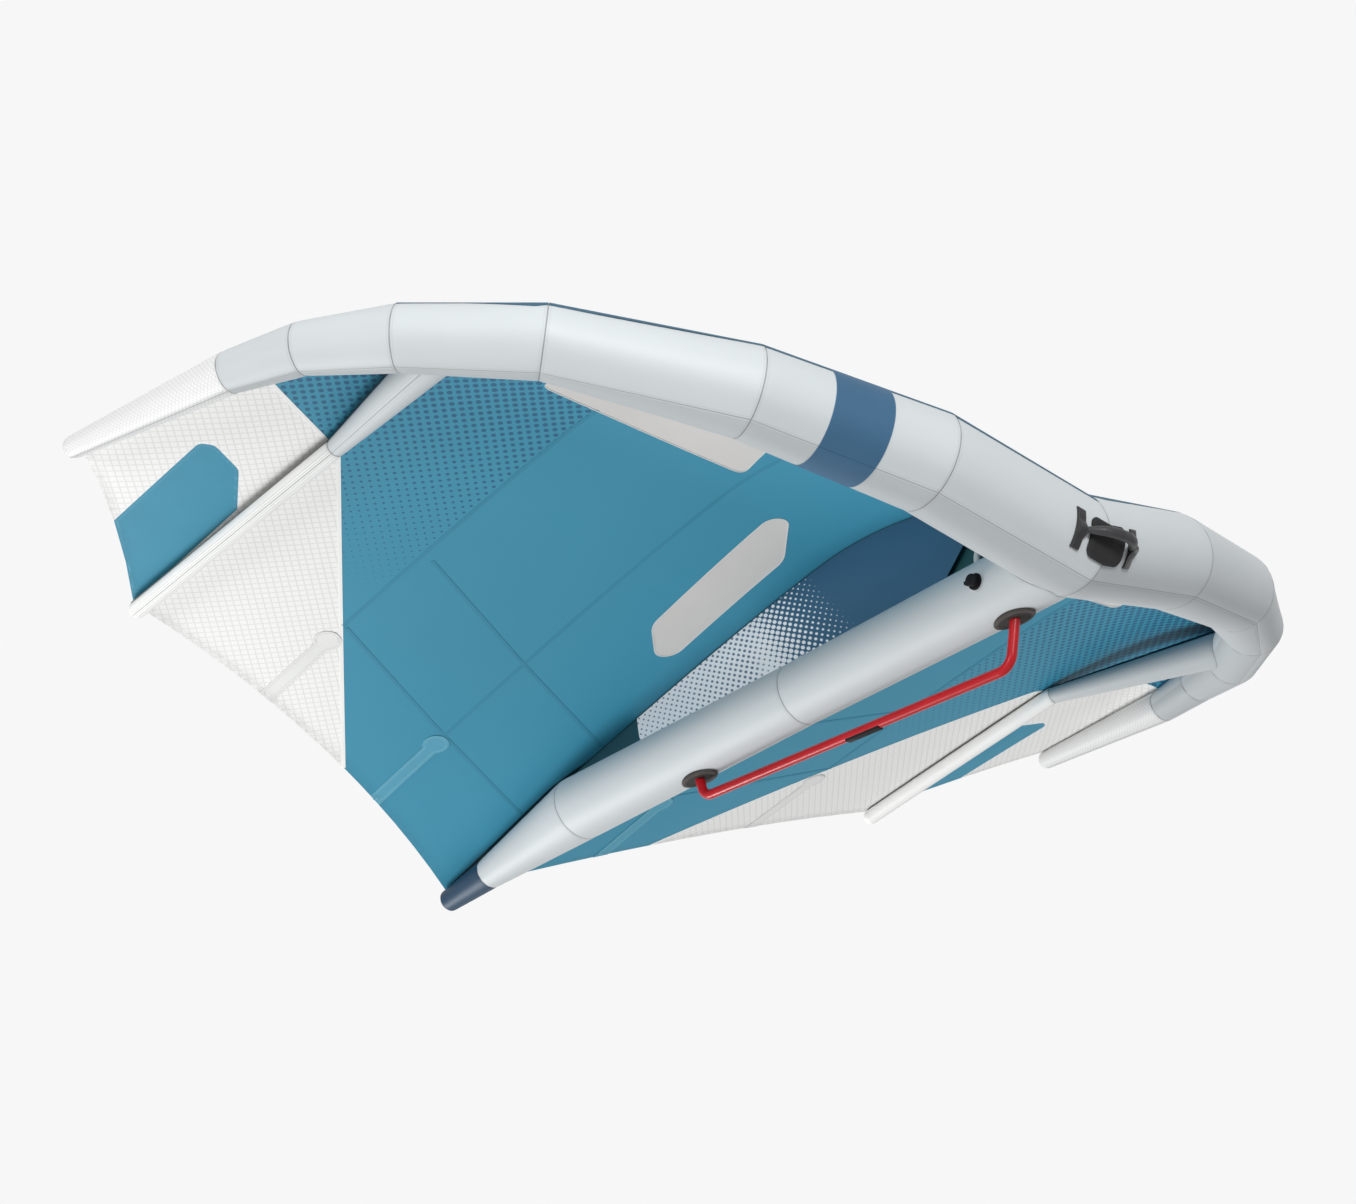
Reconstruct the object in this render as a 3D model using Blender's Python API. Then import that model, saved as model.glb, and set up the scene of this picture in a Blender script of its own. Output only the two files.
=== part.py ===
"""An inflatable hand-held wing for wing foiling, built piece by piece.

Metres, +Z up. The leading edge looks towards -Y and the tail towards +Y.
Left is the half at -X, right is the half at +X, as seen from in front.
Each half is worked out at +X and mirrored. Angles round a tube start at its
rear or inner side, 90 degrees is its top and 180 degrees its front.
"""

import math

import bmesh
import bpy
from mathutils import Vector
from mathutils.geometry import delaunay_2d_cdt

# Leading edge tube, one half, from the nose to the tip
half_span = 1.665
tip_setback = 1.35
tip_rise = 0.473
nose_radius = 0.118
ring_span_shares = (0.0, 0.251, 0.505, 0.732, 0.857, 0.921, 0.957, 1.0)
ring_setback_shares = (0.0, 0.014, 0.088, 0.229, 0.381, 0.517, 0.642, 1.0)
ring_rise_shares = (0.0, 0.195, 0.384, 0.598, 0.72, 0.818, 0.861, 1.0)
ring_radius_shares = (1.0, 0.975, 0.863, 0.68, 0.61, 0.485, 0.396, 0.221)
tube_sides = 24
dome_turns = (30, 60)
halvings = 50
sharp_angle = 32

# Cloth, film and the gaps between pieces
casing_wall = 0.0015
bladder_wall = 0.001
bladder_gap = 0.0008
bladder_neck_radius = 0.006
canopy_thickness = 0.0015
touch_gap = 0.0003

# Centre strut, along y from the nose
strut_length = 2.202
strut_radius = 0.083
strut_root_height = -0.024
strut_rise = 0.106
strut_place_shares = (0.0, 0.381, 0.747, 0.916, 1.0)
strut_rise_shares = (0.0, 0.503, 0.99, 0.737, 0.659)
strut_radius_shares = (1.0, 0.95, 1.02, 0.505, 0.365)
strut_bladder_start = 0.16

# Quarter struts: root on the leading edge, colour break, rear end
quarter_root_segment = 3
quarter_root_share = 0.6
quarter_root_lift = 0.01
quarter_break_span = 1.235
quarter_break_setback = 0.981
quarter_end_span = 1.264
quarter_end_setback = 1.727
quarter_root_radius = 0.05
quarter_break_radius = 0.0234
quarter_end_radius = 0.0221
quarter_clearance = 0.0018
quarter_bladder_start_share = 0.1

# Canopy: seat on the leading edge, trailing edge and camber
seat_angles = (90, 90, 90, 90, 90, 78, 78, 78)
seat_gap = 0.0005
tail_overhang = -0.005
trailing_reach = 0.016
trailing_hollow = 0.08
tip_edge = 0.006
tip_hollow = 0.03
centre_camber_share = 0.096
quarter_camber_share = 0.045
tip_camber_share = 0.03
draft_share = 0.3
rear_fall_power = 1.3
corner_height_share = 0.785
grid_step = 0.11
sliver_share = 1e-4
grid_clearance_share = 0.4
least_mitre_share = 0.3

# Canopy panels, windows, tip patches and batten pockets
inner_seam_span = 0.39
outer_seam_span = 0.84
white_seam_span = 0.53
white_corner_span = 1.2
white_corner_setback = 1.017
rear_window_front = 0.606
rear_window_length = 0.5715
rear_window_inner = 0.0812
rear_window_width = 0.1593
rear_window_width_shares = (0.092, 0.0, 0.256, 0.818, 1.0, 0.746)
rear_window_length_shares = (0.222, 0.948, 1.0, 0.846, 0.0455, 0.0)
rear_window_corner = 0.017
front_window_inner = 0.411
front_window_length = 0.589
front_window_rear = 0.54
front_window_width = 0.135
front_window_slant = 0.04
front_window_skew = 0.02
front_window_corner = 0.03
patch_front = 1.165
patch_width = 0.191
patch_shoulder = 0.117
patch_corner = 0.03
patch_corner_drop = 0.035
patch_inner_drop = 0.15
pocket_length = 0.295
pocket_width = 0.04
pocket_bulb_radius = 0.034
pocket_gap = 0.0006
pocket_thickness = 0.0012
pocket_steps = 8

# Web between the strut and the canopy
web_thickness = 0.002
web_foot_place = 0.36
web_head_place = 0.19
web_nose_height = 0.006
web_end_place = 2.01

# Boom and its two seats under the strut
boom_radius = 0.012
boom_wall = 0.0022
boom_front_seat_place = 0.178
boom_rear_seat_place = 1.202
boom_front_leg_drop = 0.101
boom_front_leg_back = 0.039
boom_rear_leg_drop = 0.049
boom_rear_leg_forward = 0.007
boom_front_bend = 0.042
boom_rear_bend = 0.032
boom_sides = 16
seat_length = 0.112
seat_width = 0.064
seat_thickness = 0.006
seat_rim_share = 0.6
seat_flat_share = 0.93
spigot_length = 0.018
spigot_gap = 0.0005
grip_mark_start = 0.398
grip_mark_length = 0.104
grip_mark_thickness = 0.002
grip_mark_flat = 0.014
grip_mark_half_angle = 48

# Front handle on the nose
handle_half_spacing = 0.089
handle_low_angle = 231
handle_high_angle = 187
handle_strap_width = 0.024
handle_strap_thickness = 0.005
handle_ear_angle = 10
handle_pivot_standoff = 0.0085
handle_end_radius = 0.0065
handle_grip_radius = 0.0105
handle_grip_rise = 0.042
handle_arch_power = 2.4
handle_swell_power = 4
handle_grip_lift_angle = 11
handle_pad_half_width = 0.058
handle_pad_thickness = 0.008
handle_pad_corner = 0.02
handle_pad_edge_share = 0.6

# Inflation valve on the left side of the strut
valve_place = 0.207
valve_flange_radius = 0.0195
valve_flange_thickness = 0.0035
valve_body_radius = 0.0135
valve_body_height = 0.009
valve_cap_radius = 0.0145
valve_cap_height = 0.005
valve_lug_reach = 0.0195
valve_lug_half_width = 0.004
valve_flange_flat_share = 0.94
inner_ring_shares = (0.25, 0.5, 0.75)
round_sides = 24

# Air hose between the leading edge and the strut, with its clip
hose_radius = 0.008
hose_flange_radius = 0.014
hose_flange_thickness = 0.003
hose_start_angle = 46
hose_end_place = 0.25
hose_rise = 0.083
hose_sides = 12
clip_radius = 0.0125
clip_lever_thickness = 0.003
clip_lever_length = 0.02
clip_lever_width = 0.014

# Finish of each kind of surface: colour, roughness, metallic
finishes = {
    "grey_sailcloth": ((0.70, 0.73, 0.75), 0.55, 0.0),
    "white_ripstop": ((0.84, 0.83, 0.80), 0.6, 0.0),
    "teal_cloth": ((0.055, 0.26, 0.39), 0.6, 0.0),
    "halftone_cloth": ((0.045, 0.20, 0.34), 0.6, 0.0),
    "navy_cloth": ((0.03, 0.10, 0.19), 0.6, 0.0),
    "window_film": ((0.50, 0.49, 0.47), 0.35, 0.0),
    "pocket_tape": ((0.20, 0.42, 0.50), 0.6, 0.0),
    "bladder_film": ((0.75, 0.76, 0.70), 0.3, 0.0),
    "red_lacquer": ((0.50, 0.025, 0.03), 0.3, 0.0),
    "black_rubber": ((0.015, 0.015, 0.016), 0.6, 0.0),
    "grey_plastic": ((0.055, 0.053, 0.05), 0.5, 0.0),
    "black_webbing": ((0.02, 0.02, 0.022), 0.8, 0.0),
    "black_foam": ((0.012, 0.012, 0.013), 0.75, 0.0),
    "white_plastic": ((0.60, 0.60, 0.58), 0.4, 0.0),
}

down = Vector((0.0, 0.0, -1.0))
sideways = Vector((1.0, 0.0, 0.0))
rearward = Vector((0.0, 1.0, 0.0))
upward = Vector((0.0, 0.0, 1.0))
halves = ((-1, "left"), (1, "right"))


# Scene and meshes


def clear_scene():
    for obj in list(bpy.data.objects):
        bpy.data.objects.remove(obj)


def make_materials():
    """One Principled material for each finish."""
    for name, (colour, roughness, metallic) in finishes.items():
        material = bpy.data.materials.new(name)
        material.use_nodes = True
        shader = material.node_tree.nodes["Principled BSDF"]
        shader.inputs["Base Color"].default_value = (*colour, 1.0)
        shader.inputs["Roughness"].default_value = roughness
        shader.inputs["Metallic"].default_value = metallic
        material.diffuse_color = (*colour, 1.0)


def make_object(name, points, faces, finish, pivot=None):
    """A closed piece whose origin is at the pivot, its normals facing out.

    Twisted four-sided faces are split along their shorter diagonal, so that
    one skin inside another keeps its distance.
    """
    pivot = pivot or Vector()
    mesh = bpy.data.meshes.new(name)
    mesh.from_pydata([point - pivot for point in points], [], faces)
    work = bmesh.new()
    work.from_mesh(mesh)
    bmesh.ops.recalc_face_normals(work, faces=work.faces)
    quads = [face for face in work.faces if len(face.verts) == 4]
    bmesh.ops.triangulate(work, faces=quads, quad_method="SHORT_EDGE")
    work.to_mesh(mesh)
    work.free()
    mesh.shade_smooth()
    mesh.set_sharp_from_angle(angle=math.radians(sharp_angle))
    mesh.materials.append(bpy.data.materials[finish])
    obj = bpy.data.objects.new(name, mesh)
    obj.location = pivot
    obj.parent = bpy.data.objects["wing"]
    bpy.context.scene.collection.objects.link(obj)
    return obj


def mirrored(points, side):
    """The points of the +X half, or their mirror image."""
    return [Vector((side * point.x, point.y, point.z)) for point in points]


def bridge(first, second, count):
    """Faces between two loops of points that start at these indexes."""
    pairs = [(i, (i + 1) % count) for i in range(count)]
    return [(first + i, first + j, second + j, second + i) for i, j in pairs]


def loft_solid(loops, first_pole=None, last_pole=None):
    """A closed body through the loops, ended by poles or flat faces."""
    count = len(loops[0])
    points = [point for loop in loops for point in loop]
    faces = []
    for step in range(len(loops) - 1):
        faces += bridge(step * count, (step + 1) * count, count)
    last = (len(loops) - 1) * count
    for start, pole in ((0, first_pole), (last, last_pole)):
        if pole is None:
            faces.append(tuple(range(start, start + count)))
        else:
            points.append(pole)
            tip = len(points) - 1
            faces += [(start + i, start + (i + 1) % count, tip) for i in range(count)]
    return points, faces


def loft_shell(outer, inner, outer_pole=None, inner_pole=None):
    """A tube with a wall, open at its first end and open or closed at its last."""
    count = len(outer[0])
    points = [point for loop in outer + inner for point in loop]
    inner_start = len(outer) * count
    faces = bridge(0, inner_start, count)
    for loops, start in ((outer, 0), (inner, inner_start)):
        for step in range(len(loops) - 1):
            here = start + step * count
            faces += bridge(here, here + count, count)
    outer_last = inner_start - count
    inner_last = len(points) - count
    if outer_pole is None:
        faces += bridge(outer_last, inner_last, count)
        return points, faces
    for start, pole in ((outer_last, outer_pole), (inner_last, inner_pole)):
        points.append(pole)
        tip = len(points) - 1
        faces += [(start + i, start + (i + 1) % count, tip) for i in range(count)]
    return points, faces


def ring(centre, across, up, radius, sides=tube_sides):
    """Points round a circle, the first one towards across."""
    angles = [2 * math.pi * i / sides for i in range(sides)]
    return [
        centre + radius * (math.cos(angle) * across + math.sin(angle) * up)
        for angle in angles
    ]


def frame_of(axis):
    """Directions square to a tube's axis: to its rear or inner side, and up."""
    axis = axis.normalized()
    up = (upward - upward.dot(axis) * axis).normalized()
    return up.cross(axis), up


def share_between(low, high, share):
    return low + (high - low) * share


def step_table(place, places, values):
    """The value at a place, in straight lines between the listed places."""
    for i in range(len(places) - 1):
        if place <= places[i + 1]:
            share = (place - places[i]) / (places[i + 1] - places[i])
            return share_between(values[i], values[i + 1], share)
    return values[-1]


# Leading edge tube


def ring_centre(k):
    return Vector(
        (
            ring_span_shares[k] * half_span,
            ring_setback_shares[k] * tip_setback,
            ring_rise_shares[k] * tip_rise,
        )
    )


def ring_radius(k):
    return ring_radius_shares[k] * nose_radius


def segment_direction(k):
    return (ring_centre(k + 1) - ring_centre(k)).normalized()


def ring_axis(k):
    """The tube's direction at a seam, halfway between its two neighbours."""
    if k == 0:
        return sideways
    if k == len(ring_span_shares) - 1:
        return segment_direction(k - 1)
    return (segment_direction(k - 1) + segment_direction(k)).normalized()


def ring_point(k, angle, offset):
    across, up = frame_of(ring_axis(k))
    turn = math.radians(angle)
    reach = ring_radius(k) + offset
    return ring_centre(k) + reach * (math.cos(turn) * across + math.sin(turn) * up)


def ring_loop(k, offset, slide):
    """The seam's loop, slid along the tube by a small distance."""
    step = 360 / tube_sides
    loop = [ring_point(k, step * i, offset) for i in range(tube_sides)]
    return [point + slide for point in loop]


def build_leading_edge_segment(k, side, word):
    half_gap = segment_direction(k) * touch_gap / 2
    outer = [ring_loop(k, 0, half_gap), ring_loop(k + 1, 0, -half_gap)]
    inner = [
        ring_loop(k, -casing_wall, half_gap),
        ring_loop(k + 1, -casing_wall, -half_gap),
    ]
    points, faces = loft_shell(outer, inner)
    name = f"leading_edge_segment_{k + 1}_{word}"
    make_object(name, mirrored(points, side), faces, "grey_sailcloth")


def domed_end(centre, axis, radius, loops_of):
    """Two narrowing loops and the pole of a rounded tube end."""
    rings = []
    for turn in dome_turns:
        reach = radius * math.sin(math.radians(turn))
        width = radius * math.cos(math.radians(turn))
        rings.append(loops_of(centre + axis * reach, width))
    return rings, centre + axis * radius


def build_leading_edge_tip(side, word):
    """The narrow white end of the tube, closed by a rounded end."""
    k = len(ring_span_shares) - 2
    axis = segment_direction(k)
    across, up = frame_of(axis)
    half_gap = axis * touch_gap / 2
    outer = [ring_loop(k, 0, half_gap), ring_loop(k + 1, 0, Vector())]
    inner = [
        ring_loop(k, -casing_wall, half_gap),
        ring_loop(k + 1, -casing_wall, Vector()),
    ]
    end = ring_centre(k + 1)
    radius = ring_radius(k + 1)

    def loops_of(centre, width):
        return ring(centre, across, up, width)

    dome, pole = domed_end(end, axis, radius, loops_of)
    hollow, inner_pole = domed_end(end, axis, radius - casing_wall, loops_of)
    points, faces = loft_shell(outer + dome, inner + hollow, pole, inner_pole)
    name = f"leading_edge_tip_{word}"
    make_object(name, mirrored(points, side), faces, "white_ripstop")


def build_leading_edge_bladder():
    """One long bladder through the whole tube, with a neck at its right end."""
    last = len(ring_span_shares) - 1
    outside = -(casing_wall + bladder_gap)
    inside = outside - bladder_wall

    def loops(offset):
        half = [ring_loop(k, offset, Vector()) for k in range(last + 1)]
        left = [mirrored(loop, -1) for loop in reversed(half[1:])]
        return left + half

    outer, inner = loops(outside), loops(inside)
    axis = segment_direction(last - 1)
    across, up = frame_of(axis)
    neck_centre = ring_centre(last) + axis * bladder_neck_radius
    outer.append(ring(neck_centre, across, up, bladder_neck_radius + bladder_wall))
    inner.append(ring(neck_centre, across, up, bladder_neck_radius))
    closed = mirrored([ring_centre(last) + axis * bladder_neck_radius], -1)[0]
    inner_closed = mirrored([ring_centre(last)], -1)[0]
    outer.reverse()
    inner.reverse()
    points, faces = loft_shell(outer, inner, closed, inner_closed)
    make_object("leading_edge_bladder", points, faces, "bladder_film")


def build_leading_edge():
    for side, word in halves:
        for k in range(len(ring_span_shares) - 2):
            build_leading_edge_segment(k, side, word)
        build_leading_edge_tip(side, word)
    build_leading_edge_bladder()


# Centre strut


def strut_centre(place):
    """The strut's centre line at a distance behind the nose."""
    places = [share * strut_length for share in strut_place_shares]
    heights = [strut_root_height + share * strut_rise for share in strut_rise_shares]
    return Vector((0.0, place, step_table(place, places, heights)))


def strut_skin_radius(place):
    places = [share * strut_length for share in strut_place_shares]
    return strut_radius * step_table(place, places, strut_radius_shares)


def strut_station(k):
    return strut_centre(strut_place_shares[k] * strut_length)


def strut_direction(k):
    return (strut_station(k + 1) - strut_station(k)).normalized()


def strut_loop(k, offset, slide):
    """The loop of a seam, in the plane halfway between its two cones."""
    if k == len(strut_place_shares) - 1:
        axis = strut_direction(k - 1)
    else:
        axis = (strut_direction(k - 1) + strut_direction(k)).normalized()
    up = sideways.cross(axis)
    radius = strut_radius * strut_radius_shares[k] + offset
    loop = ring(strut_station(k), sideways, up, radius)
    return [point + slide for point in loop]


def distance_to_segment(point, k):
    """How far a point stands off the skin of its own half's leading edge segment.

    The circles at the segment's ends lie in the planes of its two seams, so
    its width across its own axis is a little smaller than theirs.
    """
    point = Vector((abs(point.x), point.y, point.z))
    start, run = ring_centre(k), ring_centre(k + 1) - ring_centre(k)
    axis = run.normalized()
    share = (point - start).dot(axis) / run.length
    reach = point - start - run * share
    widths = []
    for end in (k, k + 1):
        normal = ring_axis(end)
        slanted = reach - axis * (reach.dot(normal) / axis.dot(normal))
        narrowing = reach.length / max(slanted.length, touch_gap)
        widths.append(ring_radius(end) * narrowing)
    return reach.length - share_between(*widths, share)


def reach_leading_edge(point, direction, k, gap):
    """Slides a point from inside the tube along the direction to its skin."""
    near, far = 0.0, 2 * (nose_radius + strut_radius)
    for _ in range(halvings):
        middle = (near + far) / 2
        if distance_to_segment(point + direction * middle, k) < gap:
            near = middle
        else:
            far = middle
    return point + direction * far


def onto_nose(loop, direction, gap):
    """Slides a loop from inside the nose to the skin of its two halves."""
    return [reach_leading_edge(point, direction, 0, gap) for point in loop]


def strut_root_loop(offset):
    """The front loop of the strut, shaped to the nose."""
    axis = strut_direction(0)
    up = sideways.cross(axis)
    loop = ring(strut_station(0), sideways, up, strut_radius + offset)
    return onto_nose(loop, axis, 2 * touch_gap)


def build_strut():
    """Three grey casings and the navy tail, each one a tube with a wall."""
    names = ("strut_front_casing", "strut_middle_casing", "strut_rear_casing")
    for k, name in enumerate(names):
        half_gap = strut_direction(k) * touch_gap / 2
        outer, inner = (
            [
                strut_root_loop(offset) if k == 0 else strut_loop(k, offset, half_gap),
                strut_loop(k + 1, offset, -half_gap),
            ]
            for offset in (0, -casing_wall)
        )
        points, faces = loft_shell(outer, inner)
        make_object(name, points, faces, "grey_sailcloth")
    build_strut_tail(len(names))
    build_strut_bladder()


def build_strut_tail(k):
    """The last cone, closed by a rounded end that is half as deep as it is wide."""
    axis = strut_direction(k)
    up = sideways.cross(axis)
    half_gap = axis * touch_gap / 2
    radius = strut_radius * strut_radius_shares[k + 1]
    depth = radius / 2
    end = strut_station(k + 1) - axis * depth
    outer = [strut_loop(k, 0, half_gap), ring(end, sideways, up, radius)]
    for turn in dome_turns:
        angle = math.radians(turn)
        centre = end + axis * depth * math.sin(angle)
        outer.append(ring(centre, sideways, up, radius * math.cos(angle)))
    inner_depth = depth - casing_wall
    inner = [
        strut_loop(k, -casing_wall, half_gap),
        ring(end, sideways, up, radius - casing_wall),
        ring(end + axis * inner_depth / 2, sideways, up, radius / 2),
    ]
    pole, inner_pole = end + axis * depth, end + axis * inner_depth
    points, faces = loft_shell(outer, inner, pole, inner_pole)
    make_object("strut_tail", points, faces, "navy_cloth")


def build_strut_bladder():
    """The bladder inside the strut, closed in front, with a neck at the tail."""
    outside = -(casing_wall + bladder_gap)
    front = strut_centre(strut_bladder_start)
    last = len(strut_place_shares) - 1
    shells = []
    for offset in (outside, outside - bladder_wall):
        axis = strut_direction(0)
        up = sideways.cross(axis)
        radius = strut_skin_radius(strut_bladder_start) + offset
        loops = [ring(front, sideways, up, radius)]
        loops += [strut_loop(k, offset, Vector()) for k in range(1, last)]
        tail_axis = strut_direction(last - 1)
        tail_up = sideways.cross(tail_axis)
        tail_centre = strut_station(last - 1).lerp(strut_station(last), 0.5)
        neck = bladder_neck_radius + offset - outside + bladder_wall
        loops.append(ring(tail_centre, sideways, tail_up, neck))
        loops.reverse()
        shells.append(loops)
    pole = front - strut_direction(0) * bladder_neck_radius
    inner_pole = pole + strut_direction(0) * bladder_wall
    points, faces = loft_shell(shells[0], shells[1], pole, inner_pole)
    make_object("strut_bladder", points, faces, "bladder_film")


# Canopy surface


def front_edge_points():
    """Where the canopy sits on the leading edge, at each of its seams."""
    return [ring_point(k, seat_angles[k], seat_gap) for k in range(len(seat_angles))]


def front_edge(span):
    """The canopy's front edge at a distance from the centre, as place and height."""
    edge = front_edge_points()
    spans = [point.x for point in edge]
    place = step_table(span, spans, [point.y for point in edge])
    return place, step_table(span, spans, [point.z for point in edge])


def tail_point():
    """The canopy's rear corner, on top of the strut's tail."""
    end = strut_station(len(strut_place_shares) - 1)
    radius = strut_radius * strut_radius_shares[-1]
    height = end.z + radius + canopy_thickness
    return Vector((0.0, strut_length + tail_overhang, height))


def quarter_corner():
    """The canopy's corner at the end of the quarter strut."""
    place = quarter_end_setback + trailing_reach
    return Vector((quarter_end_span, place, quarter_corner_height()))


def quarter_corner_height():
    """The trailing edge's height there, between the tail and the tip tube."""
    tip = ring_centre(len(seat_angles) - 1)
    return share_between(tail_point().z, tip.z, corner_height_share)


def tip_point():
    """The canopy's outer corner, beside the end of the leading edge."""
    return front_edge_points()[-1] + rearward * tip_edge


def trailing_edge(span):
    """The hollow trailing edge at a distance from the centre, as place and height."""
    tail, corner, tip = tail_point(), quarter_corner(), tip_point()
    start, end, hollow = tail, corner, trailing_hollow
    if span > corner.x:
        start, end, hollow = corner, tip, tip_hollow
    share = min((span - start.x) / (end.x - start.x), 1.0)
    middle = start.lerp(end, share)
    return middle.y - 4 * hollow * share * (1 - share), middle.z


def camber_share(span):
    spans = (0.0, quarter_end_span, tip_point().x)
    shares = (centre_camber_share, quarter_camber_share, tip_camber_share)
    return step_table(span, spans, shares)


def camber_shape(share):
    """Camber along a chord, from 0 at its ends to 1 at the draft."""
    if share < draft_share:
        return 1 - ((draft_share - share) / draft_share) ** 2
    return 1 - ((share - draft_share) / (1 - draft_share)) ** rear_fall_power


def canopy_height(span, place):
    """The height of the canopy's underside over a point of its plan."""
    span = abs(span)
    front_place, front_height = front_edge(span)
    rear_place, rear_height = trailing_edge(span)
    chord = rear_place - front_place
    share = min(max((place - front_place) / chord, 0.0), 1.0)
    straight = share_between(front_height, rear_height, share)
    return straight + camber_share(span) * chord * camber_shape(share)


# Outlines in plan


def plan(x, y):
    return Vector((x, y))


def divided(loop, step=None):
    """The loop with its long sides divided into even steps."""
    step = step or grid_step
    points = []
    for i, start in enumerate(loop):
        end = loop[(i + 1) % len(loop)]
        parts = max(1, math.ceil((end - start).length / step))
        points += [start.lerp(end, j / parts) for j in range(parts)]
    return points


def shrunk(loop, distance):
    """The loop with every side moved inwards, or outwards if negative."""
    count = len(loop)
    area = sum(loop[i - 1].cross(loop[i]) for i in range(count))
    turn = 1 if area > 0 else -1
    moved = []
    for i, point in enumerate(loop):
        before = (point - loop[i - 1]).normalized()
        after = (loop[(i + 1) % count] - point).normalized()
        first = plan(-before.y, before.x) * turn
        second = plan(-after.y, after.x) * turn
        middle = (first + second).normalized()
        mitre = max(middle.dot(first), least_mitre_share)
        moved.append(point + middle * distance / mitre)
    return moved


def rounded(loop, radius, steps=4):
    """The loop with each corner replaced by a short curve."""
    points = []
    for i, corner in enumerate(loop):
        before = (loop[i - 1] - corner).normalized()
        after = (loop[(i + 1) % len(loop)] - corner).normalized()
        start, end = corner + before * radius, corner + after * radius
        for j in range(steps + 1):
            share = j / steps
            points.append(start.lerp(corner, share).lerp(corner.lerp(end, share), share))
    return points


def inside(point, loop):
    """Whether a point of the plan lies inside a loop."""
    found = False
    for i, end in enumerate(loop):
        start = loop[i - 1]
        if (start.y > point.y) != (end.y > point.y):
            share = (point.y - start.y) / (end.y - start.y)
            if point.x < start.x + share * (end.x - start.x):
                found = not found
    return found


def clearance_to(point, loop):
    """The distance from a point of the plan to the nearest side of a loop."""
    nearest = half_span
    for i, end in enumerate(loop):
        start = loop[i - 1]
        run = end - start
        share = (point - start).dot(run) / max(run.length_squared, touch_gap**3)
        foot = start.lerp(end, min(max(share, 0.0), 1.0))
        nearest = min(nearest, (point - foot).length)
    return nearest


def grid_points(outline, holes):
    """Inner points of a panel, on a grid that all panels share."""
    lowest = plan(min(p.x for p in outline), min(p.y for p in outline))
    highest = plan(max(p.x for p in outline), max(p.y for p in outline))
    found = []
    for i in range(math.floor(lowest.x / grid_step), math.ceil(highest.x / grid_step)):
        for j in range(math.floor(lowest.y / grid_step), math.ceil(highest.y / grid_step)):
            point = plan(i * grid_step, j * grid_step)
            if not inside(point, outline) or any(inside(point, hole) for hole in holes):
                continue
            clearance = min(clearance_to(point, loop) for loop in [outline] + holes)
            if clearance > grid_clearance_share * grid_step:
                found.append(point)
    return found


def sheet_solid(outline, holes, drop, thickness):
    """A thin curved panel over an outline, its underside this far below the canopy's."""
    loops = [outline] + holes
    flat = [point for loop in loops for point in loop]
    sides, start = [], 0
    for loop in loops:
        count = len(loop)
        sides += [(start + i, start + (i + 1) % count) for i in range(count)]
        start += count
    flat += grid_points(outline, holes)
    flat, _, triangles, *_ = delaunay_2d_cdt(flat, sides, [], 0, 1e-7)
    kept = []
    for triangle in triangles:
        first, second, third = (flat[i] for i in triangle)
        middle = (first + second + third) / 3
        if abs((second - first).cross(third - first)) < sliver_share * grid_step**2:
            continue
        if inside(middle, outline) and not any(inside(middle, hole) for hole in holes):
            kept.append(tuple(triangle))
    return thickened(flat, kept, drop, thickness)


def thickened(flat, triangles, drop, thickness):
    """Lifts a flat mesh onto the canopy and closes it with a second skin."""
    used = sorted({i for triangle in triangles for i in triangle})
    index = {old: new for new, old in enumerate(used)}
    low = [Vector((*flat[i], canopy_height(*flat[i]) - drop)) for i in used]
    high = [point + upward * thickness for point in low]
    count = len(low)
    under = [tuple(index[i] for i in triangle) for triangle in triangles]
    over = [tuple(i + count for i in reversed(triangle)) for triangle in under]
    edges = {}
    for triangle in under:
        for i in range(3):
            edges[(triangle[i - 1], triangle[i])] = True
    rim = [(a, b) for a, b in edges if (b, a) not in edges]
    walls = [(b, a, a + count, b + count) for a, b in rim]
    return low + high, under + over + walls


# Outlines of the canopy's panels


def front_run(start, end):
    """The front edge's points between two spans, both ends and the seams included."""
    spans = [point.x for point in front_edge_points()]
    inner = [span for span in spans if start < span < end]
    return [plan(span, front_edge(span)[0]) for span in [start] + inner + [end]]


def rear_run(start, end):
    """The trailing edge's points between two spans, stepping towards the end."""
    corner = quarter_end_span
    steps = max(2, math.ceil(abs(end - start) / grid_step))
    spans = [share_between(start, end, i / steps) for i in range(steps + 1)]
    if min(start, end) < corner < max(start, end):
        spans = sorted(set(spans) | {corner}, reverse=end < start)
    return [plan(span, trailing_edge(span)[0]) for span in spans]


def white_corner():
    """Where the white cloth's seam turns, beside the quarter strut."""
    return plan(white_corner_span, white_corner_setback)


def white_seam_place(span):
    """The slanted seam between teal and white, at a distance from the centre."""
    rear = plan(white_seam_span, trailing_edge(white_seam_span)[0])
    share = (span - rear.x) / (white_corner().x - rear.x)
    return share_between(rear.y, white_corner().y, share)


def ring_span(k):
    return front_edge_points()[k].x


def inner_panel_outline():
    return front_run(0.0, inner_seam_span) + rear_run(inner_seam_span, 0.0)


def middle_panel_outline():
    outline = front_run(inner_seam_span, outer_seam_span)
    outline.append(plan(outer_seam_span, white_seam_place(outer_seam_span)))
    return outline + rear_run(white_seam_span, inner_seam_span)


def outer_panel_outline():
    outline = front_run(outer_seam_span, ring_span(-2))
    outline.append(white_corner())
    outline.append(plan(outer_seam_span, white_seam_place(outer_seam_span)))
    return outline


def white_panel_outline():
    """The white cloth of the tip, which goes round the front of the tip patch."""
    outline = front_run(ring_span(-2), ring_span(-1))
    outline += rear_run(tip_point().x, patch_side())
    outline += reversed(patch_front_side())
    outline += rear_run(quarter_end_span, white_seam_span)
    return outline + [white_corner()]


def rear_window_outline():
    corners = [
        plan(
            rear_window_inner + rear_window_width * across,
            rear_window_front + rear_window_length * along,
        )
        for across, along in zip(rear_window_width_shares, rear_window_length_shares)
    ]
    return rounded(corners, rear_window_corner)


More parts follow.
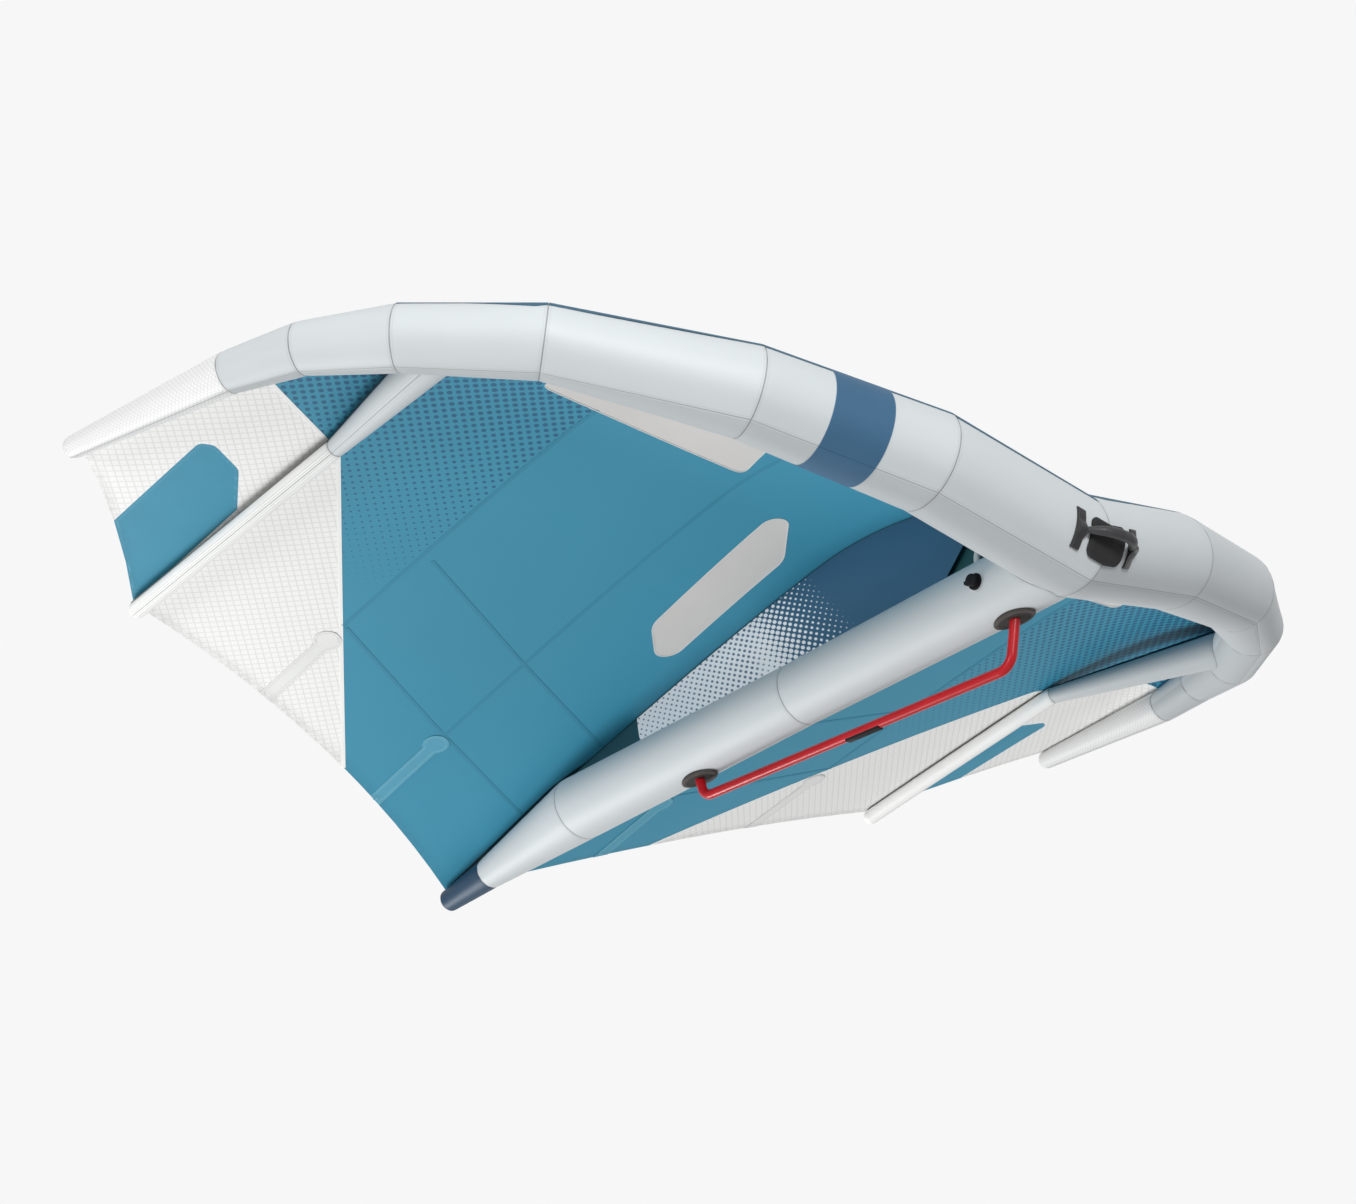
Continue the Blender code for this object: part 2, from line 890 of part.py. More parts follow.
def front_window_outline():
    inner, outer = front_window_inner, front_window_inner + front_window_length
    front = front_window_rear - front_window_width
    corners = [
        plan(inner + front_window_slant, front),
        plan(inner, front_window_rear),
        plan(outer, front_window_rear + front_window_skew),
        plan(outer - front_window_slant, front + front_window_skew),
    ]
    return rounded(corners, front_window_corner)


def patch_side():
    """The span of the tip patch's outer side."""
    return quarter_end_span + patch_width


def patch_front_side():
    """The tip patch's corners in front, from the quarter strut to the tip."""
    outer = patch_side()
    return [
        plan(quarter_end_span, patch_front + patch_inner_drop),
        plan(outer - patch_shoulder, patch_front + patch_corner_drop),
        plan(outer - patch_corner, patch_front),
        plan(outer, patch_front + patch_corner_drop / 2),
    ]


def patch_outline():
    return patch_front_side() + rear_run(patch_side(), quarter_end_span)


def pocket_outline(span):
    """A batten pocket: a strip from the trailing edge forwards to a round end."""
    half = pocket_width / 2
    inset = 3 * touch_gap
    front = trailing_edge(span)[0] - pocket_length + pocket_bulb_radius
    outline = [
        plan(span + half, trailing_edge(span + half)[0] - inset),
        plan(span - half, trailing_edge(span - half)[0] - inset),
    ]
    narrow = math.asin(half / pocket_bulb_radius)
    for i in range(pocket_steps + 1):
        turn = math.pi / 2 + narrow + 2 * (math.pi - narrow) * i / pocket_steps
        bulb = plan(math.cos(turn), math.sin(turn)) * pocket_bulb_radius
        outline.append(plan(span, front) + bulb)
    return outline


def add_sheet(name, outline, holes, finish, side, drop=0.0, thickness=None):
    """Builds one sewn panel, half a gap smaller all round than its outline."""
    thickness = thickness or canopy_thickness
    border = shrunk(divided(outline), touch_gap / 2)
    cuts = [shrunk(divided(hole), -touch_gap / 2) for hole in holes]
    points, faces = sheet_solid(border, cuts, drop, thickness)
    make_object(name, mirrored(points, side), faces, finish)


def build_canopy():
    rear_window, front_window = rear_window_outline(), front_window_outline()
    panels = (
        ("inner_panel", inner_panel_outline(), [rear_window], "teal_cloth"),
        ("middle_panel", middle_panel_outline(), [front_window], "teal_cloth"),
        ("outer_panel", outer_panel_outline(), [front_window], "halftone_cloth"),
        ("tip_panel", white_panel_outline(), [], "white_ripstop"),
        ("tip_patch", patch_outline(), [], "teal_cloth"),
        ("rear_window", rear_window, [], "window_film"),
        ("front_window", front_window, [], "window_film"),
    )
    drop = pocket_gap + pocket_thickness
    for side, word in halves:
        for name, outline, holes, finish in panels:
            add_sheet(f"canopy_{name}_{word}", outline, holes, finish, side)
        for name, span in (("inner", inner_seam_span), ("outer", outer_seam_span)):
            outline = pocket_outline(span)
            name = f"batten_pocket_{name}_{word}"
            add_sheet(name, outline, [], "pocket_tape", side, drop, pocket_thickness)


# Web between strut and canopy


def strut_top(place, aside=0.0):
    """The height of the strut's top, also at a distance beside its top line."""
    centre = strut_centre(place)
    ahead = strut_centre(place + touch_gap) - centre
    slope = ahead.z / ahead.y
    reach = math.sqrt(strut_skin_radius(place) ** 2 - aside * aside)
    return centre.z + reach * math.sqrt(1 + slope * slope)


def web_low(place):
    """The web's lower side: its slanted front edge, then the strut."""
    if place >= web_foot_place:
        return strut_top(place) + 2 * touch_gap
    head = canopy_height(0.0, web_head_place) - web_nose_height
    foot = strut_top(web_foot_place) + 2 * touch_gap
    share = (place - web_head_place) / (web_foot_place - web_head_place)
    return share_between(head, foot, share)


def web_places():
    """Stations of the web: those of the canopy's centre line, and its own corners."""
    front, rear = front_edge(0.0)[0], trailing_edge(0.0)[0]
    parts = math.ceil((rear - front) / grid_step)
    shared = [share_between(front, rear, i / parts) for i in range(parts + 1)]
    inner = [place for place in shared if web_head_place < place < web_end_place]
    seams = [share * strut_length for share in strut_place_shares[1:-1]]
    own = [web_head_place, web_foot_place, web_end_place]
    return sorted(set(inner + own + [seam for seam in seams if seam < web_end_place]))


def centre_line_height(place):
    """The underside at the canopy's centre line, in straight runs between stations."""
    front, rear = front_edge(0.0)[0], trailing_edge(0.0)[0]
    parts = math.ceil((rear - front) / grid_step)
    shared = [share_between(front, rear, i / parts) for i in range(parts + 1)]
    return step_table(place, shared, [canopy_height(0.0, y) for y in shared])


def build_web():
    half = web_thickness / 2
    loops = []
    for place in web_places():
        low = web_low(place)
        high = centre_line_height(place) - 2 * touch_gap
        loops.append(
            [
                Vector((-half, place, low)),
                Vector((half, place, low)),
                Vector((half, place, high)),
                Vector((-half, place, high)),
            ]
        )
    points, faces = loft_solid(loops)
    make_object("strut_web", points, faces, "navy_cloth")


# Quarter struts


def quarter_points():
    """Centre line: root in the leading edge, colour break, rear end."""
    k = quarter_root_segment
    root = ring_centre(k).lerp(ring_centre(k + 1), quarter_root_share)
    root += upward * quarter_root_lift
    places = (
        (quarter_break_span, quarter_break_setback, quarter_break_radius),
        (quarter_end_span, quarter_end_setback, quarter_end_radius),
    )
    points = [root]
    for span, place, radius in places:
        height = canopy_height(span, place) - radius - quarter_clearance
        points.append(Vector((span, place, height)))
    return points


def quarter_loops(offset):
    """The four loops of a quarter strut: root, both sides of the break, end."""
    root, middle, end = quarter_points()
    front_axis, rear_axis = (middle - root).normalized(), (end - middle).normalized()
    front_across, front_up = frame_of(front_axis)
    break_across, break_up = frame_of(front_axis + rear_axis)
    rear_across, rear_up = frame_of(rear_axis)
    start = ring(root, front_across, front_up, quarter_root_radius + offset)
    k = quarter_root_segment
    start = [
        reach_leading_edge(point, front_axis, k, 2 * touch_gap)
        for point in start
    ]
    seam = ring(middle, break_across, break_up, quarter_break_radius + offset)
    before = [point - front_axis * touch_gap / 2 for point in seam]
    after = [point + rear_axis * touch_gap / 2 for point in seam]
    last = ring(end, rear_across, rear_up, quarter_end_radius + offset)
    return start, before, after, last


def build_quarter_struts():
    root, middle, end = quarter_points()
    axis = (end - middle).normalized()
    across, up = frame_of(axis)

    def loops_of(centre, width):
        return ring(centre, across, up, width)

    outer, inner = quarter_loops(0), quarter_loops(-casing_wall)
    dome, pole = domed_end(end, axis, quarter_end_radius, loops_of)
    inner_radius = quarter_end_radius - casing_wall
    hollow, inner_pole = domed_end(end, axis, inner_radius, loops_of)
    front = loft_shell(list(outer[:2]), list(inner[:2]))
    rear = loft_shell(
        list(outer[2:]) + dome, list(inner[2:]) + hollow, pole, inner_pole
    )
    bladder = quarter_bladder()
    for side, word in halves:
        for name, (points, faces), finish in (
            ("quarter_strut_casing", front, "grey_sailcloth"),
            ("quarter_strut_sleeve", rear, "white_ripstop"),
            ("quarter_strut_bladder", bladder, "bladder_film"),
        ):
            make_object(f"{name}_{word}", mirrored(points, side), faces, finish)


def quarter_bladder():
    """The small bladder, with its neck at the root and its closed end behind."""
    outside = -(casing_wall + bladder_gap)
    root, middle, end = quarter_points()
    axis = (end - middle).normalized()
    shells = []
    for offset in (outside, outside - bladder_wall):
        start, before, after, last = quarter_loops(offset)
        share = quarter_bladder_start_share
        start = [near.lerp(far, share) for near, far in zip(start, before)]
        gather = sum(start, Vector()) / len(start)
        front_axis = (middle - root).normalized()
        front_across, front_up = frame_of(front_axis)
        neck = bladder_neck_radius + offset - outside + bladder_wall
        mouth = gather - front_axis * 2 * bladder_neck_radius
        shells.append([ring(mouth, front_across, front_up, neck), start, before, last])
    pole = end + axis * bladder_neck_radius
    return loft_shell(shells[0], shells[1], pole, pole - axis * bladder_wall)


# Boom and seats


def seat_frame(place):
    """The strut's centre, its direction and the direction down from it at a seat."""
    k = 0 if place < strut_place_shares[1] * strut_length else 1
    axis = strut_direction(k)
    return strut_centre(place), axis, axis.cross(sideways)


def seat_face(place):
    """The centre of the seat's flat lower face."""
    centre, axis, drop = seat_frame(place)
    return centre + drop * (strut_skin_radius(place) + seat_thickness)


def boom_corners():
    front = seat_face(boom_front_seat_place)
    rear = seat_face(boom_rear_seat_place)
    front_corner = front + down * boom_front_leg_drop + rearward * boom_front_leg_back
    rear_corner = rear + down * boom_rear_leg_drop - rearward * boom_rear_leg_forward
    return front, front_corner, rear_corner, rear


def bend(before, corner, after, radius, steps=5):
    """Points round a bend of the tube, the ends of the arc included."""
    first, second = (before - corner).normalized(), (after - corner).normalized()
    half = first.angle(second) / 2
    centre = corner + (first + second).normalized() * radius / math.sin(half)
    start = (corner + first * radius / math.tan(half) - centre).normalized()
    end = (corner + second * radius / math.tan(half) - centre).normalized()
    return [centre + start.slerp(end, i / steps) * radius for i in range(steps + 1)]


def boom_path():
    front, front_corner, rear_corner, rear = boom_corners()
    path = [front] + bend(front, front_corner, rear_corner, boom_front_bend)
    path += bend(front_corner, rear_corner, rear, boom_rear_bend)
    return path + [rear]


def onto_seat(loop, direction, place, gap):
    """Slides an end loop along the leg to the seat's flat face."""
    face = seat_face(place)
    normal = seat_frame(place)[2]
    level = normal.dot(face) + gap
    return [
        point + direction * (level - normal.dot(point)) / normal.dot(direction)
        for point in loop
    ]


def leg_direction(place):
    """The direction of the boom's leg, down from its seat."""
    front, front_corner, rear_corner, rear = boom_corners()
    if place == boom_front_seat_place:
        return (front_corner - front).normalized()
    return (rear_corner - rear).normalized()


def boom_loops(radius):
    path = boom_path()
    loops = []
    for i, centre in enumerate(path):
        before = path[max(i - 1, 0)]
        after = path[min(i + 1, len(path) - 1)]
        axis = (after - before).normalized()
        loops.append(ring(centre, sideways, sideways.cross(axis), radius, boom_sides))
    front, rear = boom_front_seat_place, boom_rear_seat_place
    loops[0] = onto_seat(loops[0], leg_direction(front), front, touch_gap)
    loops[-1] = onto_seat(loops[-1], leg_direction(rear), rear, touch_gap)
    return loops


def build_boom():
    outer, inner = boom_loops(boom_radius), boom_loops(boom_radius - boom_wall)
    points, faces = loft_shell(outer, inner)
    make_object("boom_tube", points, faces, "red_lacquer")
    build_seat("boom_front_seat", boom_front_seat_place)
    build_seat("boom_rear_seat", boom_rear_seat_place)
    build_grip_mark()


def seat_skin(place, along, across_distance):
    """A point of the seat that lies against the strut."""
    centre, axis, drop = seat_frame(place)
    spot = centre + axis * along
    radius = strut_skin_radius(spot.y) + 2 * touch_gap
    depth = math.sqrt(radius * radius - across_distance * across_distance)
    return spot + sideways * across_distance + drop * depth


def build_seat(name, place):
    """An oval plate shaped to the strut, with a spigot that carries the boom's leg."""
    centre, axis, drop = seat_frame(place)
    face = seat_face(place)
    leg = leg_direction(place)
    across = sideways.cross(leg)
    spigot_radius = boom_radius - boom_wall - spigot_gap
    spigot = ring(face + leg * spigot_length, sideways, across, spigot_radius, round_sides)
    foot = ring(face, sideways, across, spigot_radius, round_sides)
    foot = onto_seat(foot, leg, place, 0)
    turns = [2 * math.pi * i / round_sides for i in range(round_sides)]

    def oval(scale, low):
        loop = []
        for turn in turns:
            along = -math.sin(turn) * scale * seat_length / 2
            aside = math.cos(turn) * scale * seat_width / 2
            skin = seat_skin(place, along, aside)
            flat = face + axis * along + sideways * aside
            loop.append(flat if low else skin)
        return loop

    edge = oval(1.0, False)
    flat_edge = oval(1.0, True)
    rim = [point.lerp(flat, seat_rim_share) for point, flat in zip(edge, flat_edge)]
    skin = [oval(scale, False) for scale in reversed(inner_ring_shares)]
    loops = [spigot, foot, oval(seat_flat_share, True), rim, edge] + skin
    points, faces = loft_solid(loops, None, seat_skin(place, 0, 0))
    make_object(name, points, faces, "grey_plastic")


def grip_mark_frame():
    """Start, direction and downward direction of the flat mark under the boom."""
    front, front_corner, rear_corner, rear = boom_corners()
    axis = (rear_corner - front_corner).normalized()
    return front_corner + axis * grip_mark_start, axis, axis.cross(sideways)


def build_grip_mark():
    """A black pad along the underside of the boom, with a flat lower face."""
    start, axis, drop = grip_mark_frame()
    near = boom_radius + touch_gap
    far = near + grip_mark_thickness
    half = grip_mark_flat / 2
    steep = math.radians(grip_mark_half_angle)
    wide = steep * near / far
    turns = [steep * share for share in (-1.0, -2 / 3, -1 / 3, 0.0, 1 / 3, 2 / 3, 1.0)]
    section = [(near * math.sin(turn), near * math.cos(turn)) for turn in turns]
    section += [
        (far * math.sin(wide), far * math.cos(wide)),
        (half, far),
        (-half, far),
        (-far * math.sin(wide), far * math.cos(wide)),
    ]
    loops = []
    for reach in (0.0, grip_mark_length):
        centre = start + axis * reach
        loops.append([centre + sideways * aside + drop * low for aside, low in section])
    points, faces = loft_solid(loops)
    make_object("boom_grip_mark", points, faces, "black_rubber")


# Front handle


def nose_point(x, angle, offset):
    """A point over the nose at this distance from the centre plane."""
    far = ring_point(1, angle, offset)
    share = abs(x) / far.x
    point = ring_point(0, angle, offset).lerp(far, share)
    return Vector((x, point.y, point.z))


def handle_middle_angle():
    return (handle_low_angle + handle_high_angle) / 2


def handle_pivot():
    """A point of the handle's axis, in the centre plane."""
    point = nose_point(handle_half_spacing, handle_middle_angle(), handle_pivot_standoff)
    return Vector((0.0, point.y, point.z))


def handle_strap_height(angle):
    """The strap's height over the cloth: flat, with an ear round the pivot."""
    ear = handle_pivot_standoff + handle_end_radius - handle_strap_thickness
    away = abs(angle - handle_middle_angle()) / handle_ear_angle
    return handle_strap_thickness + ear * max(0.0, 1 - away * away) ** 2


def build_handle_straps():
    steps = 16
    half = handle_strap_width / 2
    for side, word in halves:
        loops = []
        for i in range(steps + 1):
            angle = share_between(handle_high_angle, handle_low_angle, i / steps)
            high = handle_strap_height(angle)
            near, far = handle_half_spacing - half, handle_half_spacing + half
            loops.append(
                [
                    nose_point(near, angle, 2 * touch_gap),
                    nose_point(far, angle, 2 * touch_gap),
                    nose_point(far, angle, high),
                    nose_point(near, angle, high),
                ]
            )
        points, faces = loft_solid(loops)
        name = f"front_handle_strap_{word}"
        make_object(name, mirrored(points, side), faces, "black_webbing")


def build_handle_pad():
    """A foam pad on the nose behind the handle, with rounded corners."""
    corner_angle = math.degrees(handle_pad_corner / nose_radius)
    edge = handle_pad_edge_share
    half = []
    for i in range(4):
        turn = math.pi / 2 * i / 3
        aside = handle_pad_corner * (1 - math.sin(turn))
        half.append((handle_pad_half_width - aside, math.cos(turn)))
    sections = [(-x, share) for x, share in reversed(half)] + [(0.0, 1.0)] + half
    loops = []
    for x, share in sections:
        trim = corner_angle * (1 - share)
        first, last = handle_high_angle + trim, handle_low_angle - trim
        lift = handle_pad_thickness * share_between(edge, 1.0, share)
        angles = [share_between(first, last, i / 6) for i in range(7)]
        lifts = [lift * edge] + [lift] * 5 + [lift * edge]
        lower = [nose_point(x, angle, 3 * touch_gap) for angle in angles]
        upper = [nose_point(x, angle, high) for angle, high in zip(angles, lifts)]
        loops.append(lower + upper[::-1])
    points, faces = loft_solid(loops)
    make_object("front_handle_pad", points, faces, "black_foam")


def build_handle_grip():
    """The arched bar between the straps, turning about the line through its ends."""
    pivot = handle_pivot()
    half = handle_half_spacing - handle_strap_width / 2 - touch_gap
    lean = math.radians(handle_middle_angle() - handle_grip_lift_angle)
    out = Vector((0.0, math.cos(lean), math.sin(lean)))
    steps = 14
    path = []
    for i in range(steps + 1):
        share = 2 * i / steps - 1
        rise = handle_grip_rise * (1 - abs(share) ** handle_arch_power)
        path.append(pivot + sideways * half * share + out * rise)
    loops = []
    for i, centre in enumerate(path):
        axis = (path[min(i + 1, steps)] - path[max(i - 1, 0)]).normalized()
        if i in (0, steps):
            axis = sideways
        share = 1 - abs(2 * i / steps - 1) ** handle_swell_power
        radius = share_between(handle_end_radius, handle_grip_radius, share)
        normal = axis.cross(out).normalized()
        loops.append(ring(centre, normal, axis.cross(normal), radius, boom_sides))
    points, faces = loft_solid(loops)
    make_object("front_handle_grip", points, faces, "black_rubber", pivot)


# Inflation valve


def valve_centre():
    """The point of the strut's centre line that the valve points away from."""
    return strut_centre(valve_place)


def valve_disc(outline, start, end, finish, name, pivot):
    """A flat piece of the valve between two distances from the strut's centre line."""
    loops = []
    for reach in (start, end):
        centre = valve_centre() - sideways * reach
        loops.append([centre + rearward * y + upward * z for y, z in outline])
    points, faces = loft_solid(loops)
    make_object(name, points, faces, finish, pivot)


def lugged_circle(radius):
    """A circle with a square lug that reaches rearwards to the cap's hinge."""
    start = math.asin(valve_lug_half_width / radius)
    run = 2 * math.pi - 2 * start
    turns = [start + run * i / round_sides for i in range(round_sides + 1)]
    circle = [(radius * math.cos(turn), radius * math.sin(turn)) for turn in turns]
    half = valve_lug_half_width
    return circle + [(valve_lug_reach, -half), (valve_lug_reach, half)]


def valve_levels():
    """Distances of the valve's faces from the strut's centre line."""
    flange = strut_skin_radius(valve_place) + valve_flange_thickness
    body = flange + touch_gap
    top = body + valve_body_height
    cap = top + touch_gap
    return flange, body, top, cap, cap + valve_cap_height


def valve_hinge():
    """The point of the cap's hinge, level with the gap under the cap."""
    flange, body, top, cap, end = valve_levels()
    point = valve_centre() + rearward * valve_lug_reach
    return point - sideways * (top + cap) / 2


def build_valve_flange():
    centre = valve_centre()
    flat = valve_levels()[0]
    turns = [2 * math.pi * i / round_sides for i in range(round_sides)]

    def loop(scale, reach=None):
        points = []
        for turn in turns:
            y = math.cos(turn) * valve_flange_radius * scale
            z = math.sin(turn) * valve_flange_radius * scale
            spot = strut_centre(valve_place + y)
            radius = strut_skin_radius(spot.y) + 2 * touch_gap
            height = centre.z + z - spot.z
            skin = math.sqrt(radius * radius - height * height)
            deep = reach or skin
            points.append(centre + rearward * y + upward * z - sideways * deep)
        return points

    skin_pole = centre - sideways * (strut_skin_radius(valve_place) + 2 * touch_gap)
    skin = [loop(scale) for scale in (*inner_ring_shares, 1.0)]
    skin.append(loop(valve_flange_flat_share, flat))
    points, faces = loft_solid(skin, skin_pole, None)
    make_object("valve_flange", points, faces, "black_rubber")


def build_valve():
    flange, body, top, cap, end = valve_levels()
    build_valve_flange()
    outline = lugged_circle(valve_body_radius)
    pivot = valve_centre() - sideways * body
    valve_disc(outline, body, top, "black_rubber", "valve_body", pivot)
    outline = lugged_circle(valve_cap_radius)
    valve_disc(outline, cap, end, "black_rubber", "valve_cap", valve_hinge())


# Air hose and clip


def hose_path():
    """Centre line of the hose, from the back of the nose over to the strut's top."""
    turn = math.radians(hose_start_angle)
    out = Vector((0.0, math.cos(turn), math.sin(turn)))
    start = out * (nose_radius + 2 * touch_gap)
    end = strut_centre(hose_end_place)
    end.z = strut_top(hose_end_place) + 2 * touch_gap
    leave, arrive = out * hose_rise, upward * hose_rise
    steps = 12
    path = []
    for i in range(steps + 1):
        t = i / steps
        rest = 1 - t
        point = rest**3 * start + 3 * rest * rest * t * (start + leave)
        point += 3 * rest * t * t * (end + arrive) + t**3 * end
        path.append(point)
    return path


def hose_section(centre, axis, radius):
    return ring(centre, sideways, sideways.cross(axis.normalized()), radius, hose_sides)


def build_hose():
    path = hose_path()
    first = (path[1] - path[0]).normalized()
    last = (path[-1] - path[-2]).normalized()
    edge = hose_flange_thickness
    sunk = hose_section(path[0] - first * hose_radius, first, hose_flange_radius)
    foot = onto_nose(sunk, first, 2 * touch_gap)
    first_pole = onto_nose([path[0] - first * hose_radius], first, 2 * touch_gap)[0]
    loops = [
        foot,
        [point + first * edge for point in foot],
        hose_section(path[0] + first * 2 * edge, first, hose_radius),
    ]
    for i in range(1, len(path) - 1):
        loops.append(hose_section(path[i], path[i + 1] - path[i - 1], hose_radius))
    foot = hose_section(path[-1], last, hose_flange_radius)
    for point in foot:
        point.z = strut_top(point.y, point.x) + 2 * touch_gap
    loops += [
        hose_section(path[-1] - last * 2 * edge, last, hose_radius),
        [point - last * edge for point in foot],
        foot,
    ]
    points, faces = loft_solid(loops, first_pole, path[-1])
    make_object("air_hose", points, faces, "white_plastic")


def clip_stations():
    """The hose's stations that the clip goes round."""
    middle = len(hose_path()) // 2 + 1
    return middle - 1, middle, middle + 1


def clip_frame():
    """Direction and outer side of the clip, and the point of the lever's axis."""
    path = hose_path()
    first, middle, last = clip_stations()
    axis = (path[last] - path[first]).normalized()
    up = axis.cross(sideways) * -1
    lift = clip_radius + clip_lever_thickness / 2 + touch_gap
    along = (path[last] - path[middle]).dot(axis)
    return axis, up, path[middle] + axis * along + up * lift


def build_clip():
    path = hose_path()
    outer, inner = (
        [hose_section(path[i], path[i + 1] - path[i - 1], radius) for i in clip_stations()]
        for radius in (clip_radius, hose_radius + 2 * touch_gap)
    )
    points, faces = loft_shell(outer, inner)
    make_object("hose_clip", points, faces, "grey_plastic")
    build_clip_lever()


def build_clip_lever():
    """The lever that pinches the hose, hinged at the clip's rear end."""
    axis, up, pivot = clip_frame()
    wide = clip_lever_width / 2
    low = up * clip_lever_thickness / 2
    loops = []
    for reach in (0.0, clip_lever_length):
        spot = pivot - axis * reach
        loops.append(
            [
                spot - sideways * wide - low,
                spot + sideways * wide - low,
                spot + sideways * wide + low,
                spot - sideways * wide + low,
            ]
        )
    points, faces = loft_solid(loops)
    make_object("hose_clip_lever", points, faces, "white_plastic", pivot)


# Placing the whole wing


def stand_on_ground():
    """Moves the wing so that the ground's origin is under the middle of its box."""
    bpy.context.view_layer.update()
    corners = []
    for obj in bpy.data.objects:
        if obj.type == "MESH":
            corners += [obj.matrix_world @ vertex.co for vertex in obj.data.vertices]
    low = [min(corner[i] for corner in corners) for i in range(3)]
    high = [max(corner[i] for corner in corners) for i in range(3)]
    middle = ((low[0] + high[0]) / 2, (low[1] + high[1]) / 2, low[2])
    bpy.data.objects["wing"].location = [-value for value in middle]
    bpy.context.view_layer.update()


def main():
    clear_scene()
    make_materials()
    wing = bpy.data.objects.new("wing", None)
    bpy.context.scene.collection.objects.link(wing)
    build_leading_edge()
    build_strut()
    build_canopy()
    build_web()
    build_quarter_struts()
    build_boom()
    build_handle_straps()
    build_handle_pad()
    build_handle_grip()
    build_valve()
    build_hose()
    build_clip()
    stand_on_ground()


main()
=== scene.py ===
"""Looks of an inflatable hand-held wing for wing foiling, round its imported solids.

Every shape is worked out in metres from the nose of the wing: x to the right
half, y to the tail, z up. Each half is worked out at +X and mirrored.
"""

import math

import bmesh
import bpy
import numpy as np
from mathutils import Matrix, Vector
from mathutils.geometry import delaunay_2d_cdt


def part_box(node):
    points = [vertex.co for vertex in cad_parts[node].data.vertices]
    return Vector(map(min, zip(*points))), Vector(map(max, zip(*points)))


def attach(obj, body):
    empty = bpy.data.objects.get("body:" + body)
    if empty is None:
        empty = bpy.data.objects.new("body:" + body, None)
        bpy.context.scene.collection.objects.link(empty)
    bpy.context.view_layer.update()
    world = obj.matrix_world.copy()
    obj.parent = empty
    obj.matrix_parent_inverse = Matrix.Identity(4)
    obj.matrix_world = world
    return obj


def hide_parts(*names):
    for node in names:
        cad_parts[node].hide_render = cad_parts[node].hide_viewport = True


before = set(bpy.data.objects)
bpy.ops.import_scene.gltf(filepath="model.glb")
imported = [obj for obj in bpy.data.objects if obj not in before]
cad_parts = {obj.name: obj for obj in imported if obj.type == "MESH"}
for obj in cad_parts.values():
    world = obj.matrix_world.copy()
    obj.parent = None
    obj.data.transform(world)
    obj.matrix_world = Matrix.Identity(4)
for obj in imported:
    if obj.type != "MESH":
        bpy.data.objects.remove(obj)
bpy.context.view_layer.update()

# Leading edge tube, one half, from the nose to the tip
half_span = 1.665
tip_setback = 1.35
tip_rise = 0.473
nose_radius = 0.118
ring_span_shares = np.array((0.0, 0.251, 0.505, 0.732, 0.857, 0.921, 0.957, 1.0))
ring_setback_shares = np.array((0.0, 0.014, 0.088, 0.229, 0.381, 0.517, 0.642, 1.0))
ring_rise_shares = np.array((0.0, 0.195, 0.384, 0.598, 0.72, 0.818, 0.861, 1.0))
ring_radius_shares = np.array((1.0, 0.975, 0.863, 0.68, 0.61, 0.485, 0.396, 0.221))
long_seam_angles = (252, 252, 252, 268, 268, 268, 268, 268)
ring_count = len(ring_span_shares)

# Cloth, stitching and the gaps between pieces
cloth_wall = 0.0012
sheet_thickness = 0.0012
touch_gap = 0.0003
seam_pull = 0.0007
seam_reach = 0.006
pucker_height = 0.0003
pucker_pitch = 0.045
pucker_reach = 0.03
tube_sides = 72
station_step = 0.07

# Centre strut, along y from the nose
strut_length = 2.202
strut_radius = 0.083
strut_root_height = -0.024
strut_rise = 0.106
strut_place_shares = np.array((0.0, 0.381, 0.747, 0.916, 1.0))
strut_rise_shares = np.array((0.0, 0.503, 0.99, 0.737, 0.659))
strut_radius_shares = np.array((1.0, 0.95, 1.02, 0.505, 0.365))

# Quarter struts: root on the leading edge, colour break, rear end
quarter_root_segment = 3
quarter_root_share = 0.6
quarter_root_lift = 0.01
quarter_break_span = 1.235
quarter_break_setback = 0.981
quarter_end_span = 1.264
quarter_end_setback = 1.727
quarter_root_radius = 0.05
quarter_break_radius = 0.0234
quarter_end_radius = 0.0221
quarter_clearance = 0.0018
quarter_seam_angle = 238
# How far round the quarter struts their painted shadow strips reach, in degrees
quarter_front_reach = (36, 170)
quarter_rear_reach = (44, 162)

# Canopy: seat on the leading edge, trailing edge and camber
seat_angles = (90, 90, 90, 90, 90, 78, 78, 78)
seat_gap = 0.0005
tail_overhang = -0.005
solid_thickness = 0.0015
trailing_reach = 0.016
trailing_hollow = 0.08
trailing_height_share = 0.785
tip_edge = 0.006
tip_hollow = 0.03
centre_camber_share = 0.096
quarter_camber_share = 0.045
tip_camber_share = 0.03
draft_share = 0.3
rear_fall_power = 1.3
grid_step = 0.026
fine_step = 0.011

# Canopy panels, windows, tip patches and batten pockets
inner_seam_span = 0.39
outer_seam_span = 0.84
white_seam_span = 0.53
white_corner_span = 1.2
white_corner_setback = 1.017
cross_seams = (((0.0, 1.526), (0.40, 1.364), (0.81, 1.187)), ((0.02, 1.843), (0.434, 1.672), (0.832, 1.498)))
rear_window_front = 0.606
rear_window_length = 0.5715
rear_window_inner = 0.0812
rear_window_width = 0.1593
rear_window_width_shares = np.array((0.092, 0.0, 0.256, 0.818, 1.0, 0.746))
rear_window_length_shares = np.array((0.222, 0.948, 1.0, 0.846, 0.0455, 0.0))
rear_window_corner = 0.027
front_window_inner = 0.411
front_window_length = 0.589
front_window_rear = 0.54
front_window_width = 0.135
front_window_slant = 0.04
front_window_skew = 0.02
front_window_corner = 0.03
patch_front = 1.165
patch_width = 0.191
patch_shoulder = 0.117
patch_corner = 0.03
patch_corner_drop = 0.035
patch_inner_drop = 0.15
pocket_length = 0.295
pocket_width = 0.04
pocket_bulb_radius = 0.034
pocket_gap = 0.0006
seam_tape_width = 0.010
hem_width = 0.018
hem_ripple_reach = 0.045
rim_width = 0.0028
tape_thickness = 0.0005
